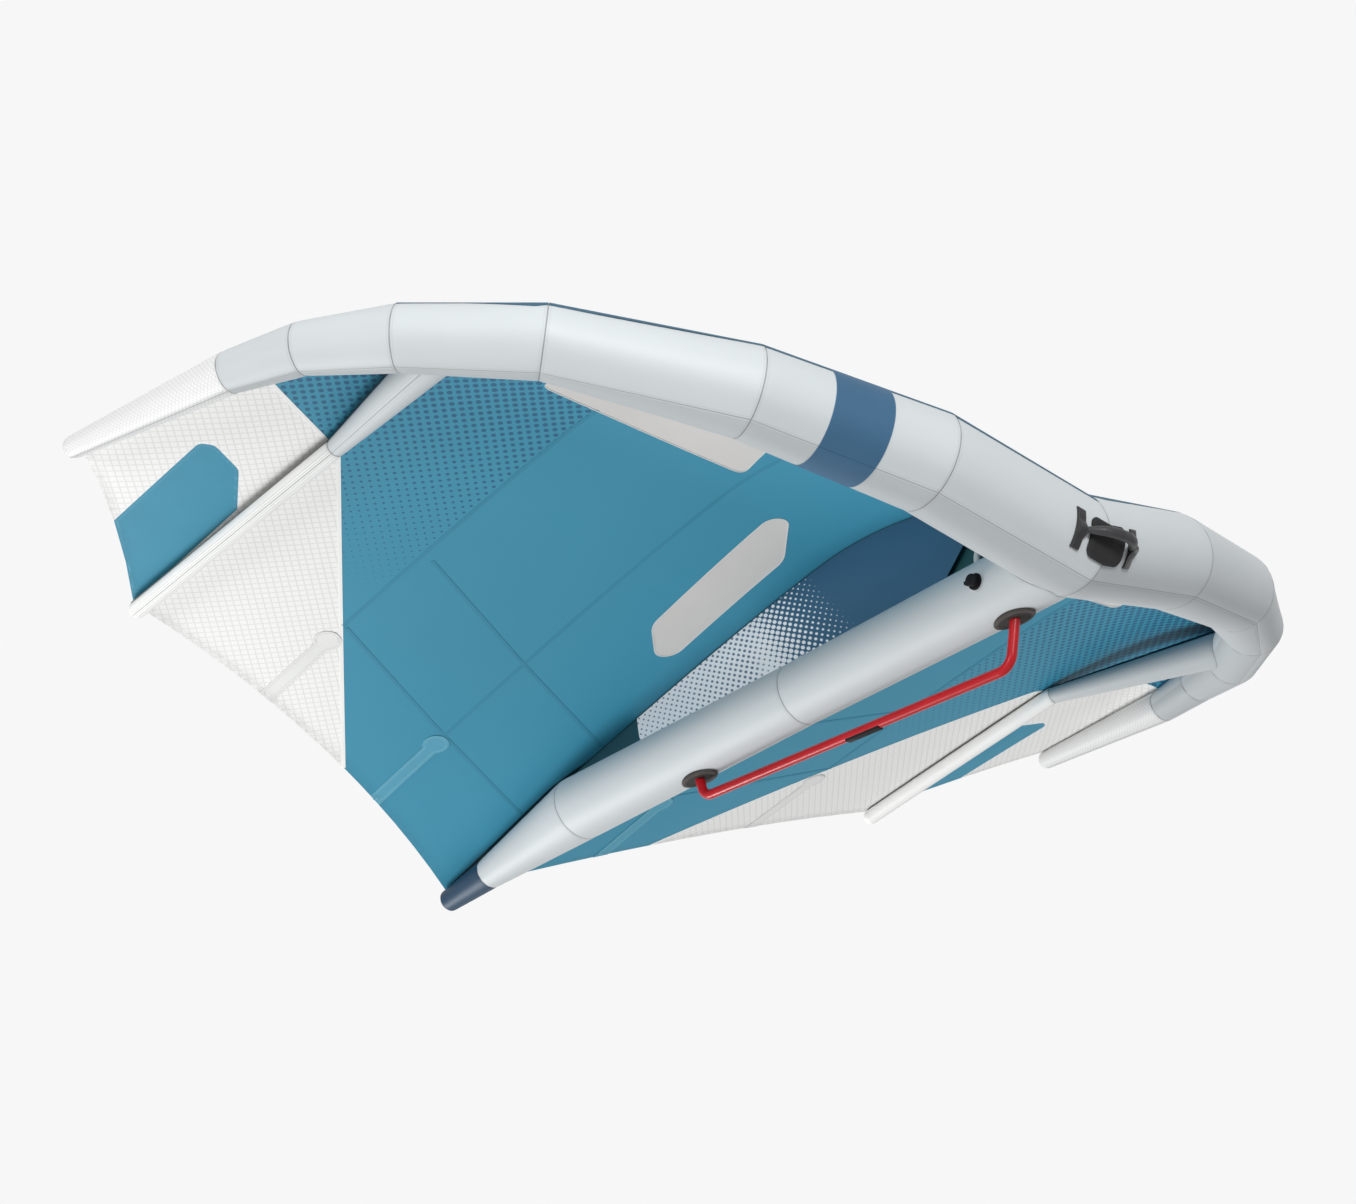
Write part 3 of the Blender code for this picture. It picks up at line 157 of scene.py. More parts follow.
strip_gap = 0.0001

# Printed dots on the cloth
dot_lattice = 0.0195
web_dot_steps = ((-45.7, -24.7), (42.9, -66.2))
ripstop_pitch = 0.0176
thread_pitch = 0.0113
weave_pitch = 0.0016
zigzag_pitch = 0.008
stitch_row = 0.0058
stitch_length = 0.005
dot_fade_start = 0.25
dot_fade_end = 1.5
dot_widest = 0.40

# Web between the strut and the canopy
web_thickness = 0.0016
web_foot_place = 0.36
web_head_place = 0.19
web_nose_height = 0.006
web_print_end = 1.39
web_end_place = 2.01
web_dots_start = 0.74
web_dots_slant = 0.55
# The dark strip along the strut's top behind the web is painted shadow; these set where it widens and how wide it is.
shadow_grow_start = 1.58
shadow_grow_end = 1.72
strut_shadow_share = 0.672
strut_shadow_less = 0.008
strut_tape_lift = 0.0003
gusset_aside = 0.016
gusset_gap = 0.0015
web_bow = 0.004

# Boom and its two seats under the strut
boom_radius = 0.012
boom_front_seat_place = 0.178
boom_rear_seat_place = 1.202
boom_front_leg_drop = 0.101
boom_front_leg_back = 0.039
boom_rear_leg_drop = 0.049
boom_rear_leg_forward = 0.007
boom_front_bend = 0.042
boom_rear_bend = 0.032
seat_length = 0.112
seat_width = 0.064
seat_thickness = 0.006
seat_profile = (
    ((0.25, 0.0), (0.55, 0.0), (0.8, 0.0), (1.0, 0.0), (1.0, 0.5), (0.985, 0.8), (0.95, 0.97), (0.9, 1.0))
    + ((0.83, 0.98), (0.79, 0.86), (0.76, 0.7), (0.7, 0.66), (0.5, 0.66), (0.3, 0.66), (0.1, 0.66))
)
grip_mark_start = 0.398
grip_mark_length = 0.104
grip_mark_thickness = 0.002
grip_mark_flat = 0.014
grip_mark_half_angle = 48

# Front handle on the nose
handle_half_spacing = 0.089
handle_low_angle = 231
handle_high_angle = 187
handle_strap_width = 0.024
handle_strap_thickness = 0.005
handle_ear_angle = 10
handle_pivot_standoff = 0.0085
handle_end_radius = 0.0065
handle_grip_radius = 0.0122
handle_grip_rise = 0.042
handle_grip_lift_angle = 11
handle_pad_half_width = 0.058
handle_pad_thickness = 0.008
handle_pad_corner = 0.02

# Inflation valve on the left side of the strut
valve_place = 0.207
valve_flange_radius = 0.0195
valve_flange_thickness = 0.0035
valve_body_radius = 0.0135
valve_body_height = 0.009
valve_cap_radius = 0.0145
valve_cap_height = 0.005
valve_lug_reach = 0.0195
valve_lug_half_width = 0.004

# Air hose between the leading edge and the strut, with its clip
hose_radius = 0.008
hose_flange_radius = 0.014
hose_flange_thickness = 0.003
hose_start_angle = 46
hose_end_place = 0.25
hose_rise = 0.083
clip_radius = 0.0125
clip_lever_thickness = 0.003
clip_lever_length = 0.02
clip_lever_width = 0.014

# Navy band sewn round one segment of the left half
band_segment = 1
band_start_share = 0.345
band_end_share = 0.65
band_first_angle = 104
band_last_angle = 352
band_lift = 0.0004
band_thickness = 0.0006

# Dark tape along the top of the leading edge: segment, shares and reach in degrees
top_tape_start = 92
top_tapes = {
    "left": (
        (0, (0.0, 1.0), (153.5, 154.0)),
        (1, (0.0, 1.0), (146.5, 147.5)),
        (2, (0.0, 1.0), (143.0, 147.0)),
        (3, (0.0, 0.07, 0.55, 1.0), (144.0, 151.0, 134.0, 134.0)),
    ),
    "right": ((0, (0.0, 0.15, 1.0), (140.0, 143.0, 128.0)),),
}

# Camera, floor and light, in metres from the nose
camera_place = (-4.4545, -2.9382, -2.9139)
camera_forward = (0.6413, 0.5936, 0.4861)
camera_up = (-0.2432, -0.4436, 0.8625)
camera_lens = 72.37
camera_sensor = 36
floor_depth = 10.8
floor_radius = 90
floor_grey = (0.70, 0.70, 0.70)
world_light = (0.965, 0.98, 1.0)
world_strength = 0.42

# Colours, linear
grey_cloth = (0.50, 0.53, 0.54)
white_cloth = (0.865, 0.862, 0.845)
teal_cloth = (0.037, 0.245, 0.367)
teal_dot = (0.014, 0.092, 0.185)
navy_cloth = (0.032, 0.096, 0.175)
web_navy = (0.040, 0.125, 0.215)
navy_dark = (0.012, 0.045, 0.09)
teal_pocket = (0.080, 0.305, 0.425)
white_pocket = (0.76, 0.765, 0.75)
top_tape = (0.018, 0.085, 0.14)
web_white = (0.88, 0.895, 0.91)
web_dot_blue = (0.07, 0.12, 0.25)
# seam_shadow is painted shadow: the dark strips where the canopy meets the struts.
seam_shadow = (0.004, 0.028, 0.040)
web_line = (0.014, 0.080, 0.125)
# The gusset's dark green is painted shade, standing in for canopy that lies in shadow.
gusset_shade_green = (0.012, 0.080, 0.088)
seam_grey = (0.20, 0.21, 0.215)
thread_grey = (0.47, 0.47, 0.46)
stitch_grey = (0.50, 0.50, 0.49)
bladder_white = (0.72, 0.74, 0.70)
window_grey = (0.60, 0.585, 0.565)
red_paint = (0.37, 0.008, 0.012)
background = (0.93, 0.93, 0.93)

up = np.array((0.0, 0.0, 1.0))
sideways = np.array((1.0, 0.0, 0.0))
rearward = np.array((0.0, 1.0, 0.0))
halves = ((-1, "left"), (1, "right"))

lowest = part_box("leading_edge_segment_1_left")[0]
nose = np.array((0.0, lowest.y + nose_radius, lowest.z + nose_radius))


# Camera, floor and light


def make_camera():
    data = bpy.data.cameras.new("camera")
    data.lens = camera_lens
    data.sensor_width = camera_sensor
    data.clip_end = 400
    camera = bpy.data.objects.new("camera", data)
    forward, top = Vector(camera_forward).normalized(), Vector(camera_up)
    right = forward.cross(top).normalized()
    top = right.cross(forward)
    turn = Matrix((right, top, -forward)).transposed()
    camera.matrix_world = Matrix.Translation(Vector(nose) + Vector(camera_place)) @ turn.to_4x4()
    bpy.context.scene.collection.objects.link(camera)
    bpy.context.scene.camera = camera


def show_background(tree, lit, kind, target):
    """Shows the plain background to rays that look at it, also in gloss and through film."""
    path = tree.nodes.new("ShaderNodeLightPath")
    seen = path.outputs["Is Camera Ray"]
    for ray in ("Is Glossy Ray", "Is Transmission Ray"):
        most = tree.nodes.new("ShaderNodeMath")
        most.operation = "MAXIMUM"
        tree.links.new(seen, most.inputs[0])
        tree.links.new(path.outputs[ray], most.inputs[1])
        seen = most.outputs[0]
    shown = tree.nodes.new(kind)
    shown.inputs["Color"].default_value = (*background, 1.0)
    mix = tree.nodes.new("ShaderNodeMixShader")
    for i, socket in enumerate((seen, lit.outputs[0], shown.outputs[0])):
        tree.links.new(socket, mix.inputs[i])
    tree.links.new(mix.outputs[0], target.inputs[0])


def make_world():
    world = bpy.data.worlds.new("studio")
    bpy.context.scene.world = world
    world.use_nodes = True
    tree = world.node_tree
    tree.nodes.clear()
    soft = tree.nodes.new("ShaderNodeBackground")
    soft.inputs["Color"].default_value = (*world_light, 1.0)
    soft.inputs["Strength"].default_value = world_strength
    show_background(tree, soft, "ShaderNodeBackground", tree.nodes.new("ShaderNodeOutputWorld"))


def make_floor():
    """A wide pale floor far below, which shows as the background."""
    bpy.ops.mesh.primitive_circle_add(vertices=96, radius=floor_radius, fill_type="NGON", location=(0, 0, -floor_depth))
    floor = bpy.context.object
    floor.name = "floor"
    paint = Paint("pale_floor", floor_grey, 0.9, Specular_IOR_Level=0.5)
    show_background(paint.tree, paint.shader, "ShaderNodeEmission", paint.tree.nodes["Material Output"])
    floor.data.materials.append(paint.material)


def add_light(name, place, size, strength, target=(0.0, 1.0, 0.2)):
    """A soft round lamp at a place from the nose, turned to the wing."""
    data = bpy.data.lights.new(name, "AREA")
    data.shape = "DISK"
    data.size = size
    data.energy = strength
    lamp = bpy.data.objects.new(name, data)
    spot = Vector(place) + Vector(nose)
    lamp.location = spot
    lamp.rotation_mode = "QUATERNION"
    lamp.rotation_quaternion = (Vector(target) + Vector(nose) - spot).to_track_quat("-Z", "Y")
    bpy.context.scene.collection.objects.link(lamp)


def make_lights():
    add_light("key_light", (-4.8, -7.2, 0.6), 2.6, 680)
    add_light("low_rear_light", (-2.4, 10.4, -6.6), 4.5, 1240, (0.2, 1.0, 0.3))
    add_light("left_light", (-9.0, 0.4, -0.4), 3.0, 230)
    add_light("top_light", (-2.0, -3.0, 7.0), 5.0, 40)


# Materials


class Value:
    """What a node puts out. Arithmetic on it adds more nodes."""

    def __init__(self, paint, socket):
        self.paint, self.socket = paint, socket

    def __add__(self, other):
        return self.paint.math("ADD", self, other)

    def __sub__(self, other):
        return self.paint.math("SUBTRACT", self, other)

    def __rsub__(self, other):
        return self.paint.math("SUBTRACT", other, self)

    def __mul__(self, other):
        return self.paint.math("MULTIPLY", self, other)

    def __truediv__(self, other):
        return self.paint.math("DIVIDE", self, other)

    def __abs__(self):
        return self.paint.math("ABSOLUTE", self)

    def fraction(self):
        return self.paint.math("FRACT", self)


class Paint:
    """A Principled material, with short ways to add nodes to it."""

    def __init__(self, name, colour, roughness, **settings):
        self.material = bpy.data.materials.new(name)
        self.material.use_nodes = True
        self.material.diffuse_color = (*colour, 1.0)
        self.tree = self.material.node_tree
        self.shader = self.tree.nodes["Principled BSDF"]
        settings = {"Base_Color": colour, "Roughness": roughness, "Specular_IOR_Level": 0.3, **settings}
        for key, value in settings.items():
            self.set(self.shader, key.replace("_", " "), value)

    def set(self, node, key, value):
        """Sets a socket to a number or a colour, or links it to a value."""
        if isinstance(value, Value):
            self.tree.links.new(value.socket, node.inputs[key])
        else:
            node.inputs[key].default_value = (*value, 1.0) if isinstance(value, tuple) else value

    def add(self, kind, inputs, output=0, **settings):
        """Adds a node with these settings, and with inputs by number or name."""
        node = self.tree.nodes.new("ShaderNode" + kind)
        for key, value in settings.items():
            setattr(node, key, value)
        for key, value in inputs.items() if isinstance(inputs, dict) else enumerate(inputs):
            self.set(node, key, value)
        return Value(self, node.outputs[output])

    def math(self, operation, *values):
        return self.add("Math", values, operation=operation)

    def most(self, first, second):
        return self.math("MAXIMUM", first, second)

    def attribute(self, name):
        return self.add("Attribute", (), "Fac", attribute_name=name)

    def spot(self):
        return self.add("TexCoord", (), "Object")

    def place(self):
        """The point's own place on the piece, as x, y and z."""
        node = self.add("SeparateXYZ", (self.spot(),)).socket.node
        return [Value(self, socket) for socket in node.outputs]

    def noise(self, scale, detail=2.0, roughness=0.5):
        inputs = {"Vector": self.spot(), "Scale": scale, "Detail": detail, "Roughness": roughness}
        return self.add("TexNoise", inputs, "Fac")

    def remap(self, *values):
        """A value from between two numbers to between two others."""
        return self.add("MapRange", values)

    def soft_step(self, value, edge, blur):
        """0 below the edge and 1 above it, with a soft change between."""
        return self.add("MapRange", (value, edge - blur, edge + blur, 0.0, 1.0), interpolation_type="SMOOTHSTEP")

    def band(self, value, middle, half, blur):
        """1 where the value lies within half of the middle."""
        return 1.0 - self.soft_step(abs(value - middle), half, blur)

    def dashes(self, value, length, gap=0.35, blur=0.05):
        """1 on dashes that follow each other at this length."""
        return self.soft_step((value / length).fraction(), gap, blur)

    def wave(self, value, pitch):
        """A sine from 0 to 1 with this pitch."""
        return self.math("SINE", value * (2 * math.pi / pitch)) * 0.5 + 0.5

    def weave(self, first, second):
        return self.wave(first, weave_pitch) * self.wave(second, weave_pitch)

    def rim(self):
        """1 along the edge of a piece."""
        return self.band(self.attribute("to_edge"), 0.0, 0.0012, 0.0008)

    def mix(self, share, first, second, **settings):
        return self.add("Mix", {0: share, 6: first, 7: second}, 2, data_type="RGBA", **settings)

    def lattice(self, pitch):
        """Places on a square lattice turned by 45 degrees, in steps of the pitch."""
        x, y, _ = self.place()
        step = math.sqrt(0.5) / pitch
        return (abs(x) + y) * step, (abs(x) - y) * step

    def dots(self, first, second, radius, blur):
        """1 inside dots of this radius, both in steps of the lattice."""
        first, second = first.fraction() - 0.5, second.fraction() - 0.5
        return 1.0 - self.soft_step(self.math("SQRT", first * first + second * second), radius, blur)

    def ripstop(self, pitch, half=0.05, blur=0.05):
        """1 on the thicker threads of a cloth."""
        return self.most(*(self.band(value.fraction(), 0.5, half, blur) for value in self.lattice(pitch)))

    def shade_of(self, colour, low, high, scale=2.5):
        """The colour, a little darker and lighter in wide soft patches."""
        value = self.remap(self.noise(scale, 3.0), 0.3, 0.7, low, high)
        return self.mix(1.0, colour, self.add("CombineColor", (value, value, value)), blend_type="MULTIPLY")

    def finished(self, colour, height, strength, distance):
        """The material, once it has its colour and its bump."""
        self.set(self.shader, "Base Color", colour)
        bump = self.add("Bump", {"Height": height, "Strength": strength, "Distance": distance})
        self.set(self.shader, "Normal", bump)
        return self.material


def scaled(colour, share):
    return tuple(share * part for part in colour)


def tube_cloth(name, colour, line_colour, threads=0.0, double_line=False, strip=1.0):
    """Sewn sailcloth of the tubes: weave, seam lines, two rows of stitches, and a lower strip that can be painted
    darker as shade.
    """
    paint = Paint(name, colour, 0.5)
    to_ring, to_long = paint.attribute("to_ring"), paint.attribute("to_long")
    along, around = paint.attribute("along"), paint.attribute("around")
    base = paint.shade_of(colour, 0.975, 1.02)
    # Below 1, the strip below the long seam is painted darker: a separate lower panel of cloth, darkened further as
    # painted shade on the tube's underside.
    if strip < 1.0:
        base = paint.mix(paint.attribute("under"), base, scaled(colour, strip))
    if threads:
        runs = (along + around, along - around)
        lines = [paint.band((run / thread_pitch).fraction(), 0.5, 0.09, 0.10) for run in runs]
        base = paint.mix(paint.most(*lines) * threads, base, stitch_grey)
    if double_line:
        rows = [paint.band(to_long, place, 0.0008, 0.0006) for place in (0.005, 0.011)]
        base = paint.mix(paint.most(*rows) * 0.35, base, line_colour)
    line = paint.most(paint.band(to_ring, 0.0, 0.0013, 0.0008), paint.band(to_long, 0.0, 0.0011, 0.0007) * 0.85)
    shadow = paint.most(paint.band(to_ring, 0.0, 0.002, 0.005), paint.band(to_long, 0.0, 0.001, 0.004))
    rows = ((to_ring, around), (to_long, along))
    stitches = (paint.band(side, stitch_row, 0.0005, 0.0003) * paint.dashes(run, stitch_length) for side, run in rows)
    stitch = paint.most(*stitches)
    for mark, share in ((shadow, 0.16), (stitch, 0.35), (line, 0.8)):
        base = paint.mix(mark * share, base, line_colour)
    return paint.finished(base, paint.weave(along, around) * 0.25 - paint.most(stitch, line), 0.35, 0.0006)


def hem(paint, base, line_colour):
    """A folded, stitched and slightly rippled edge along the tail side of a panel, with painted shade along it."""
    to_tail = paint.attribute("to_tail")
    near = 1.0 - paint.soft_step(to_tail, hem_ripple_reach / 2, hem_ripple_reach / 2)
    ripple = near * paint.soft_step(paint.noise(55.0), 0.52, 0.14)
    # Near the trailing edge the cloth is painted darker, in a band and in ripple-shaped patches: painted shade of the
    # rippled fold.
    base = paint.mix(ripple * 0.3 + near * 0.22, base, line_colour)
    fold = paint.band(to_tail, hem_width, 0.0009, 0.0008) * paint.dashes(abs(paint.place()[0]), 0.007, 0.3, 0.08)
    return paint.mix(fold * 0.5, base, line_colour)


def panel_cloth(name, colour):
    """Smooth woven canopy cloth with a faint ripstop grid."""
    paint = Paint(name, colour, 0.55)
    grid = paint.ripstop(ripstop_pitch / 3)
    base = paint.mix(grid * 0.25, paint.shade_of(colour, 0.97, 1.03, 1.6), scaled(colour, 0.86))
    return paint.finished(hem(paint, base, scaled(colour, 0.75)), grid, 0.2, 0.0003)


def halftone_cloth():
    """Teal cloth with a print of dark dots that shrink towards the tail."""
    paint = Paint("halftone_print", teal_cloth, 0.55)
    radius = paint.attribute("dot_size")
    dots = paint.dots(*paint.lattice(dot_lattice), radius, 0.07) * paint.soft_step(radius, 0.06, 0.05)
    base = paint.mix(dots * 0.9, paint.shade_of(teal_cloth, 0.97, 1.03, 1.6), teal_dot)
    return paint.finished(base, paint.ripstop(ripstop_pitch / 3), 0.2, 0.0003)


def white_ripstop():
    """White cloth with a plain grid of thicker grey threads."""
    paint = Paint("white_ripstop", white_cloth, 0.5)
    grid, fine = paint.ripstop(ripstop_pitch, 0.06, 0.13), paint.ripstop(ripstop_pitch / 4)
    base = paint.mix(grid * 0.5, paint.shade_of(white_cloth, 0.975, 1.01, 1.6), thread_grey)
    base = hem(paint, paint.mix(fine * 0.06, base, thread_grey), stitch_grey)
    return paint.finished(base, grid + fine * 0.3, 0.25, 0.0004)


def web_print():
    """Navy cloth whose white dots grow rearwards until small navy dots are left."""
    paint = Paint("web_print", navy_cloth, 0.55)
    _, y, z = paint.place()
    first, second = (y * along + z * rise for along, rise in web_dot_steps)
    share, start = paint.attribute("print_share"), paint.attribute("dot_start")
    white = paint.dots(first, second, paint.remap(start, 0.0, 0.42, 0.06, 0.60), 0.08)
    white = paint.most(white * paint.soft_step(start, 0.02, 0.02), paint.soft_step(share, 0.36, 0.05))
    navy = paint.dots(first + 0.5, second + 0.5, paint.remap(share, 0.25, 1.0, 0.31, 0.17), 0.08)
    base = paint.mix(white, paint.shade_of(web_navy, 0.97, 1.03), web_white)
    small = paint.mix(paint.soft_step(share, 0.8, 0.2), web_navy, web_dot_blue)
    base = paint.mix(navy * paint.soft_step(share, 0.32, 0.05) * 0.9, base, small)
    return paint.finished(base, paint.weave(y, z), 0.15, 0.0003)


def tape_cloth(name, colour, thread):
    """A narrow tape with a zigzag of stitches along its middle."""
    paint = Paint(name, colour, 0.6)
    along, reach = paint.attribute("along"), 0.45
    swing = paint.math("PINGPONG", along, zigzag_pitch / 2) * (4 * reach / zigzag_pitch) - reach
    stitch = 1.0 - paint.soft_step(abs(paint.attribute("across") - swing), 0.12, 0.06)
    base = paint.mix(stitch * 0.7, paint.shade_of(colour, 0.96, 1.03), thread)
    return paint.finished(base, paint.wave(along, weave_pitch) * 0.3 + stitch, 0.4, 0.0004)


def edged_cloth(name, colour, thread):
    """Cloth of a sewn-on piece, with a stitched zigzag near its edge."""
    paint = Paint(name, colour, 0.6)
    x, y, _ = paint.place()
    swing = paint.math("PINGPONG", abs(x) + y, 0.005) + 0.0035
    stitch = 1.0 - paint.soft_step(abs(paint.attribute("to_edge") - swing), 0.001, 0.0006)
    base = hem(paint, paint.shade_of(colour, 0.96, 1.04, 6.0), scaled(colour, 0.75))
    base = paint.mix(stitch * 0.6, paint.mix(paint.rim() * 0.35, base, thread), thread)
    return paint.finished(base, paint.ripstop(ripstop_pitch / 3) * 0.3 + stitch, 0.35, 0.0004)


def band_cloth():
    """Navy cloth of the band, with the line of the tube's long seam."""
    paint = Paint("navy_band_cloth", navy_cloth, 0.6)
    turn = math.radians(long_seam_angles[band_segment] - band_first_angle)
    start, end = ring_radii[band_segment:band_segment + 2]
    along = paint.attribute("along")
    seam = paint.band(along, turn * start, (start + end) * 0.005, (start + end) * 0.003)
    base = paint.mix(paint.rim() * 0.35, paint.shade_of(navy_cloth, 0.95, 1.05, 6.0), (0.16, 0.26, 0.36))
    weave = paint.weave(along, paint.attribute("to_edge"))
    return paint.finished(paint.mix(seam * 0.7, base, navy_dark), weave, 0.2, 0.0003)


def window_film():
    """Tinted clear film, faintly wavy, with a welded rim."""
    paint = Paint("window_film", window_grey, 0.3, IOR=1.45, Coat_Weight=0.2, Coat_Roughness=0.25)
    paint.set(paint.shader, "Roughness", paint.remap(paint.noise(9.0), 0.3, 0.7, 0.3, 0.36))
    base = paint.mix(paint.rim() * 0.5, paint.shade_of(window_grey, 0.97, 1.03, 3.0), (0.66, 0.66, 0.64))
    return paint.finished(base, paint.noise(14.0), 0.02, 0.002)


def bladder_film():
    paint = Paint("bladder_film", bladder_white, 0.3, Coat_Weight=0.3)
    return paint.finished(paint.shade_of(bladder_white, 0.94, 1.04, 8.0), paint.noise(60.0, 3.0), 0.2, 0.001)


def red_lacquer():
    """Clear-coated red tube with a faint orange peel and fine wear."""
    paint = Paint("red_lacquer", red_paint, 0.4, Specular_IOR_Level=0.2, Coat_Weight=0.05)
    scuffs = paint.soft_step(paint.noise(180.0, 4.0, 0.7), 0.68, 0.03)
    paint.set(paint.shader, "Roughness", paint.remap(scuffs, 0.0, 1.0, 0.3, 0.55))
    base = paint.mix(scuffs * 0.3, paint.shade_of(red_paint, 0.9, 1.06, 12.0), (0.30, 0.012, 0.016))
    return paint.finished(base, paint.noise(700.0), 0.06, 0.0003)


def rubber(name, colour, grain=900.0, roughness=0.6, rim=None):
    """Moulded rubber or plastic with a fine grain and slightly rubbed patches."""
    paint = Paint(name, colour, roughness, Specular_IOR_Level=0.15)
    base = paint.mix(paint.attribute("rim"), colour, rim) if rim else colour
    rubbed = paint.remap(paint.noise(40.0), 0.3, 0.7, roughness - 0.1, roughness + 0.1)
    paint.set(paint.shader, "Roughness", rubbed)
    return paint.finished(paint.shade_of(base, 0.85, 1.2, 25.0), paint.noise(grain), 0.25, 0.0003)


def webbing():
    """Heavy black webbing: ribs across, weave along, and stitched edges."""
    paint = Paint("black_webbing", (0.022, 0.022, 0.024), 0.8, Sheen_Weight=0.4, Sheen_Roughness=0.4)
    along, across = paint.attribute("along"), paint.attribute("across")
    height = paint.wave(along, 0.0022) * paint.wave(across, 0.16)
    stitch = paint.band(abs(across), 0.8, 0.03, 0.02) * paint.dashes(along, 0.004)
    base = paint.mix(height, (0.014, 0.014, 0.015), (0.034, 0.034, 0.037))
    return paint.finished(paint.mix(stitch, base, (0.10, 0.10, 0.105)), height + stitch * 0.6, 0.6, 0.0006)


def foam():
    paint = Paint("black_foam", (0.014, 0.014, 0.015), 0.85)
    cells = paint.noise(1100.0, 2.0, 0.6)
    return paint.finished(paint.mix(cells, (0.009, 0.009, 0.010), (0.022, 0.022, 0.023)), cells, 0.5, 0.0005)


# Meshes


def unit(vector):
    return vector / np.linalg.norm(vector)


def make_piece(name, points, faces, material, side=1, attributes=None, sharp=40, body="wing"):
    """A closed piece in place, its faces turned outwards, riding on its body."""
    place = np.asarray(points, float) * (side, 1, 1) + nose
    mesh = bpy.data.meshes.new(name)
    mesh.from_pydata(place.tolist(), [], faces)
    for key, values in (attributes or {}).items():
        layer = mesh.attributes.new(key, "FLOAT", "POINT")
        layer.data.foreach_set("value", np.ravel(values).astype(np.float32))
    work = bmesh.new()
    work.from_mesh(mesh)
    bmesh.ops.recalc_face_normals(work, faces=work.faces)
    work.to_mesh(mesh)
    work.free()
    mesh.shade_smooth()
    mesh.set_sharp_from_angle(angle=math.radians(sharp))
    mesh.materials.append(material)
    piece = bpy.data.objects.new(name, mesh)
    bpy.context.scene.collection.objects.link(piece)
    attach(piece, body)
    return piece


def bridge(first, second, count):
    steps = [(i, (i + 1) % count) for i in range(count)]
    return [(first + i, first + j, second + j, second + i) for i, j in steps]


def loft(loops, ends="cap"):
    """Faces through the loops. Ends are capped, joined to a ring or left open."""
    count = len(loops[0])
    points = np.concatenate(loops)
    faces = []
    for step in range(len(loops) - 1):
        faces += bridge(step * count, (step + 1) * count, count)
    last = (len(loops) - 1) * count
    if ends == "cap":
        faces += [tuple(range(count)), tuple(range(last, last + count))]
    if ends == "ring":
        faces += bridge(last, 0, count)
    return points, faces


def add_piece(name, loops, material, slot, node=None, side=1, attributes=None, ends="cap", **rest):
    """A piece through loops, with the solid that it stands for hidden. Its slot is not used."""
    points, faces = loft(loops, ends)
    piece = make_piece(name, points, faces, material, side, attributes, **rest)
    if node:
        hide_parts(node)
    return piece


def circle_turns(sides):
    return np.linspace(0, 2 * math.pi, sides, endpoint=False)


def circle(centre, across, top, radius, sides):
    turns = circle_turns(sides)[:, None]
    return centre + radius * (np.cos(turns) * across + np.sin(turns) * top)


def path_axis(path, i):
    """The direction of a path at one of its points."""
    return unit(path[min(i + 1, len(path) - 1)] - path[max(i - 1, 0)])


def frame_of(axis):
    """Directions square to a tube's axis: to its rear or inner side, and up."""
    axis = unit(axis)
    top = unit(up - up @ axis * axis)
    return np.cross(top, axis), top


# Leading edge tube

ring_centres = np.column_stack(
    (ring_span_shares * half_span, ring_setback_shares * tip_setback, ring_rise_shares * tip_rise)
)
ring_radii = ring_radius_shares * nose_radius


def segment_axis(k):
    return unit(ring_centres[k + 1] - ring_centres[k])


def ring_axis(k):
    """The tube's direction at a seam, halfway between its two neighbours."""
    if k == 0:
        return sideways
    if k == ring_count - 1:
        return segment_axis(k - 1)
    return unit(segment_axis(k - 1) + segment_axis(k))


def round_directions(axis, angles):
    across, top = frame_of(axis)
    turns = np.radians(np.asarray(angles, float))[:, None]
    return np.cos(turns) * across + np.sin(turns) * top


def ring_points(k, angles, offset=0.0):
    return ring_centres[k] + (ring_radii[k] + offset) * round_directions(ring_axis(k), angles)


def turns_from_seam(radius):
    """Angles away from the long seam, with close neighbours beside it."""
    step = 360 / tube_sides
    close = math.degrees(seam_reach / radius)
    return np.array([0.0, close] + [step * i for i in range(1, tube_sides)] + [360.0 - close])


def stations(length):
    """Shares along a casing, closer together near its seams."""
    near = [0.0, 0.002, 0.006, 0.012, 0.024, 0.042]
    near = [place for place in near if place < length / 3]
    middle = max(2, math.ceil((length - 2 * near[-1]) / station_step))
    inner = np.linspace(near[-1], length - near[-1], middle + 1)[1:-1]
    places = near + list(inner) + [length - place for place in reversed(near)]
    return [place / length for place in places]


def tube_skin(first, last, turns, radius, ends=(True, True)):
    """Loops of a sewn casing between two end loops, with its pattern's attributes.

    The cloth is drawn in along its seams and puckers a little beside them.
    """
    length = np.linalg.norm(last.mean(0) - first.mean(0))
    axis = unit(last.mean(0) - first.mean(0))
    arcs = np.radians(np.minimum(turns, 360 - turns)) * radius
    loops, columns = [], {"to_ring": [], "to_long": [], "along": [], "around": [], "under": []}
    for share in stations(length):
        loop = first * (1 - share) + last * share
        centre = loop.mean(0)
        out = loop - centre
        out -= (out @ axis)[:, None] * axis
        out /= np.linalg.norm(out, axis=1)[:, None]
        gaps = [share * length if ends[0] else 1.0, (1 - share) * length if ends[1] else 1.0]
        gap = min(gaps)
        offset = -seam_pull * math.exp(-gap / seam_reach)
        ripple = pucker_height * math.exp(-gap / pucker_reach) * np.sin(arcs * 2 * math.pi / pucker_pitch)
        groove = np.where(arcs == 0, -seam_pull, 0.0)
        loops.append(loop + (offset + ripple + groove)[:, None] * out)
        columns["to_ring"].append(np.full(len(turns), gap))
        columns["to_long"].append(arcs)
        columns["along"].append(np.full(len(turns), share * length))
        columns["around"].append(arcs)
        # under marks the strip below the long seam, which the leading edge's cloth paints darker as shade.
        columns["under"].append(np.where((turns > 0) & (turns < 90), 1.0, 0.0))
    return loops, columns


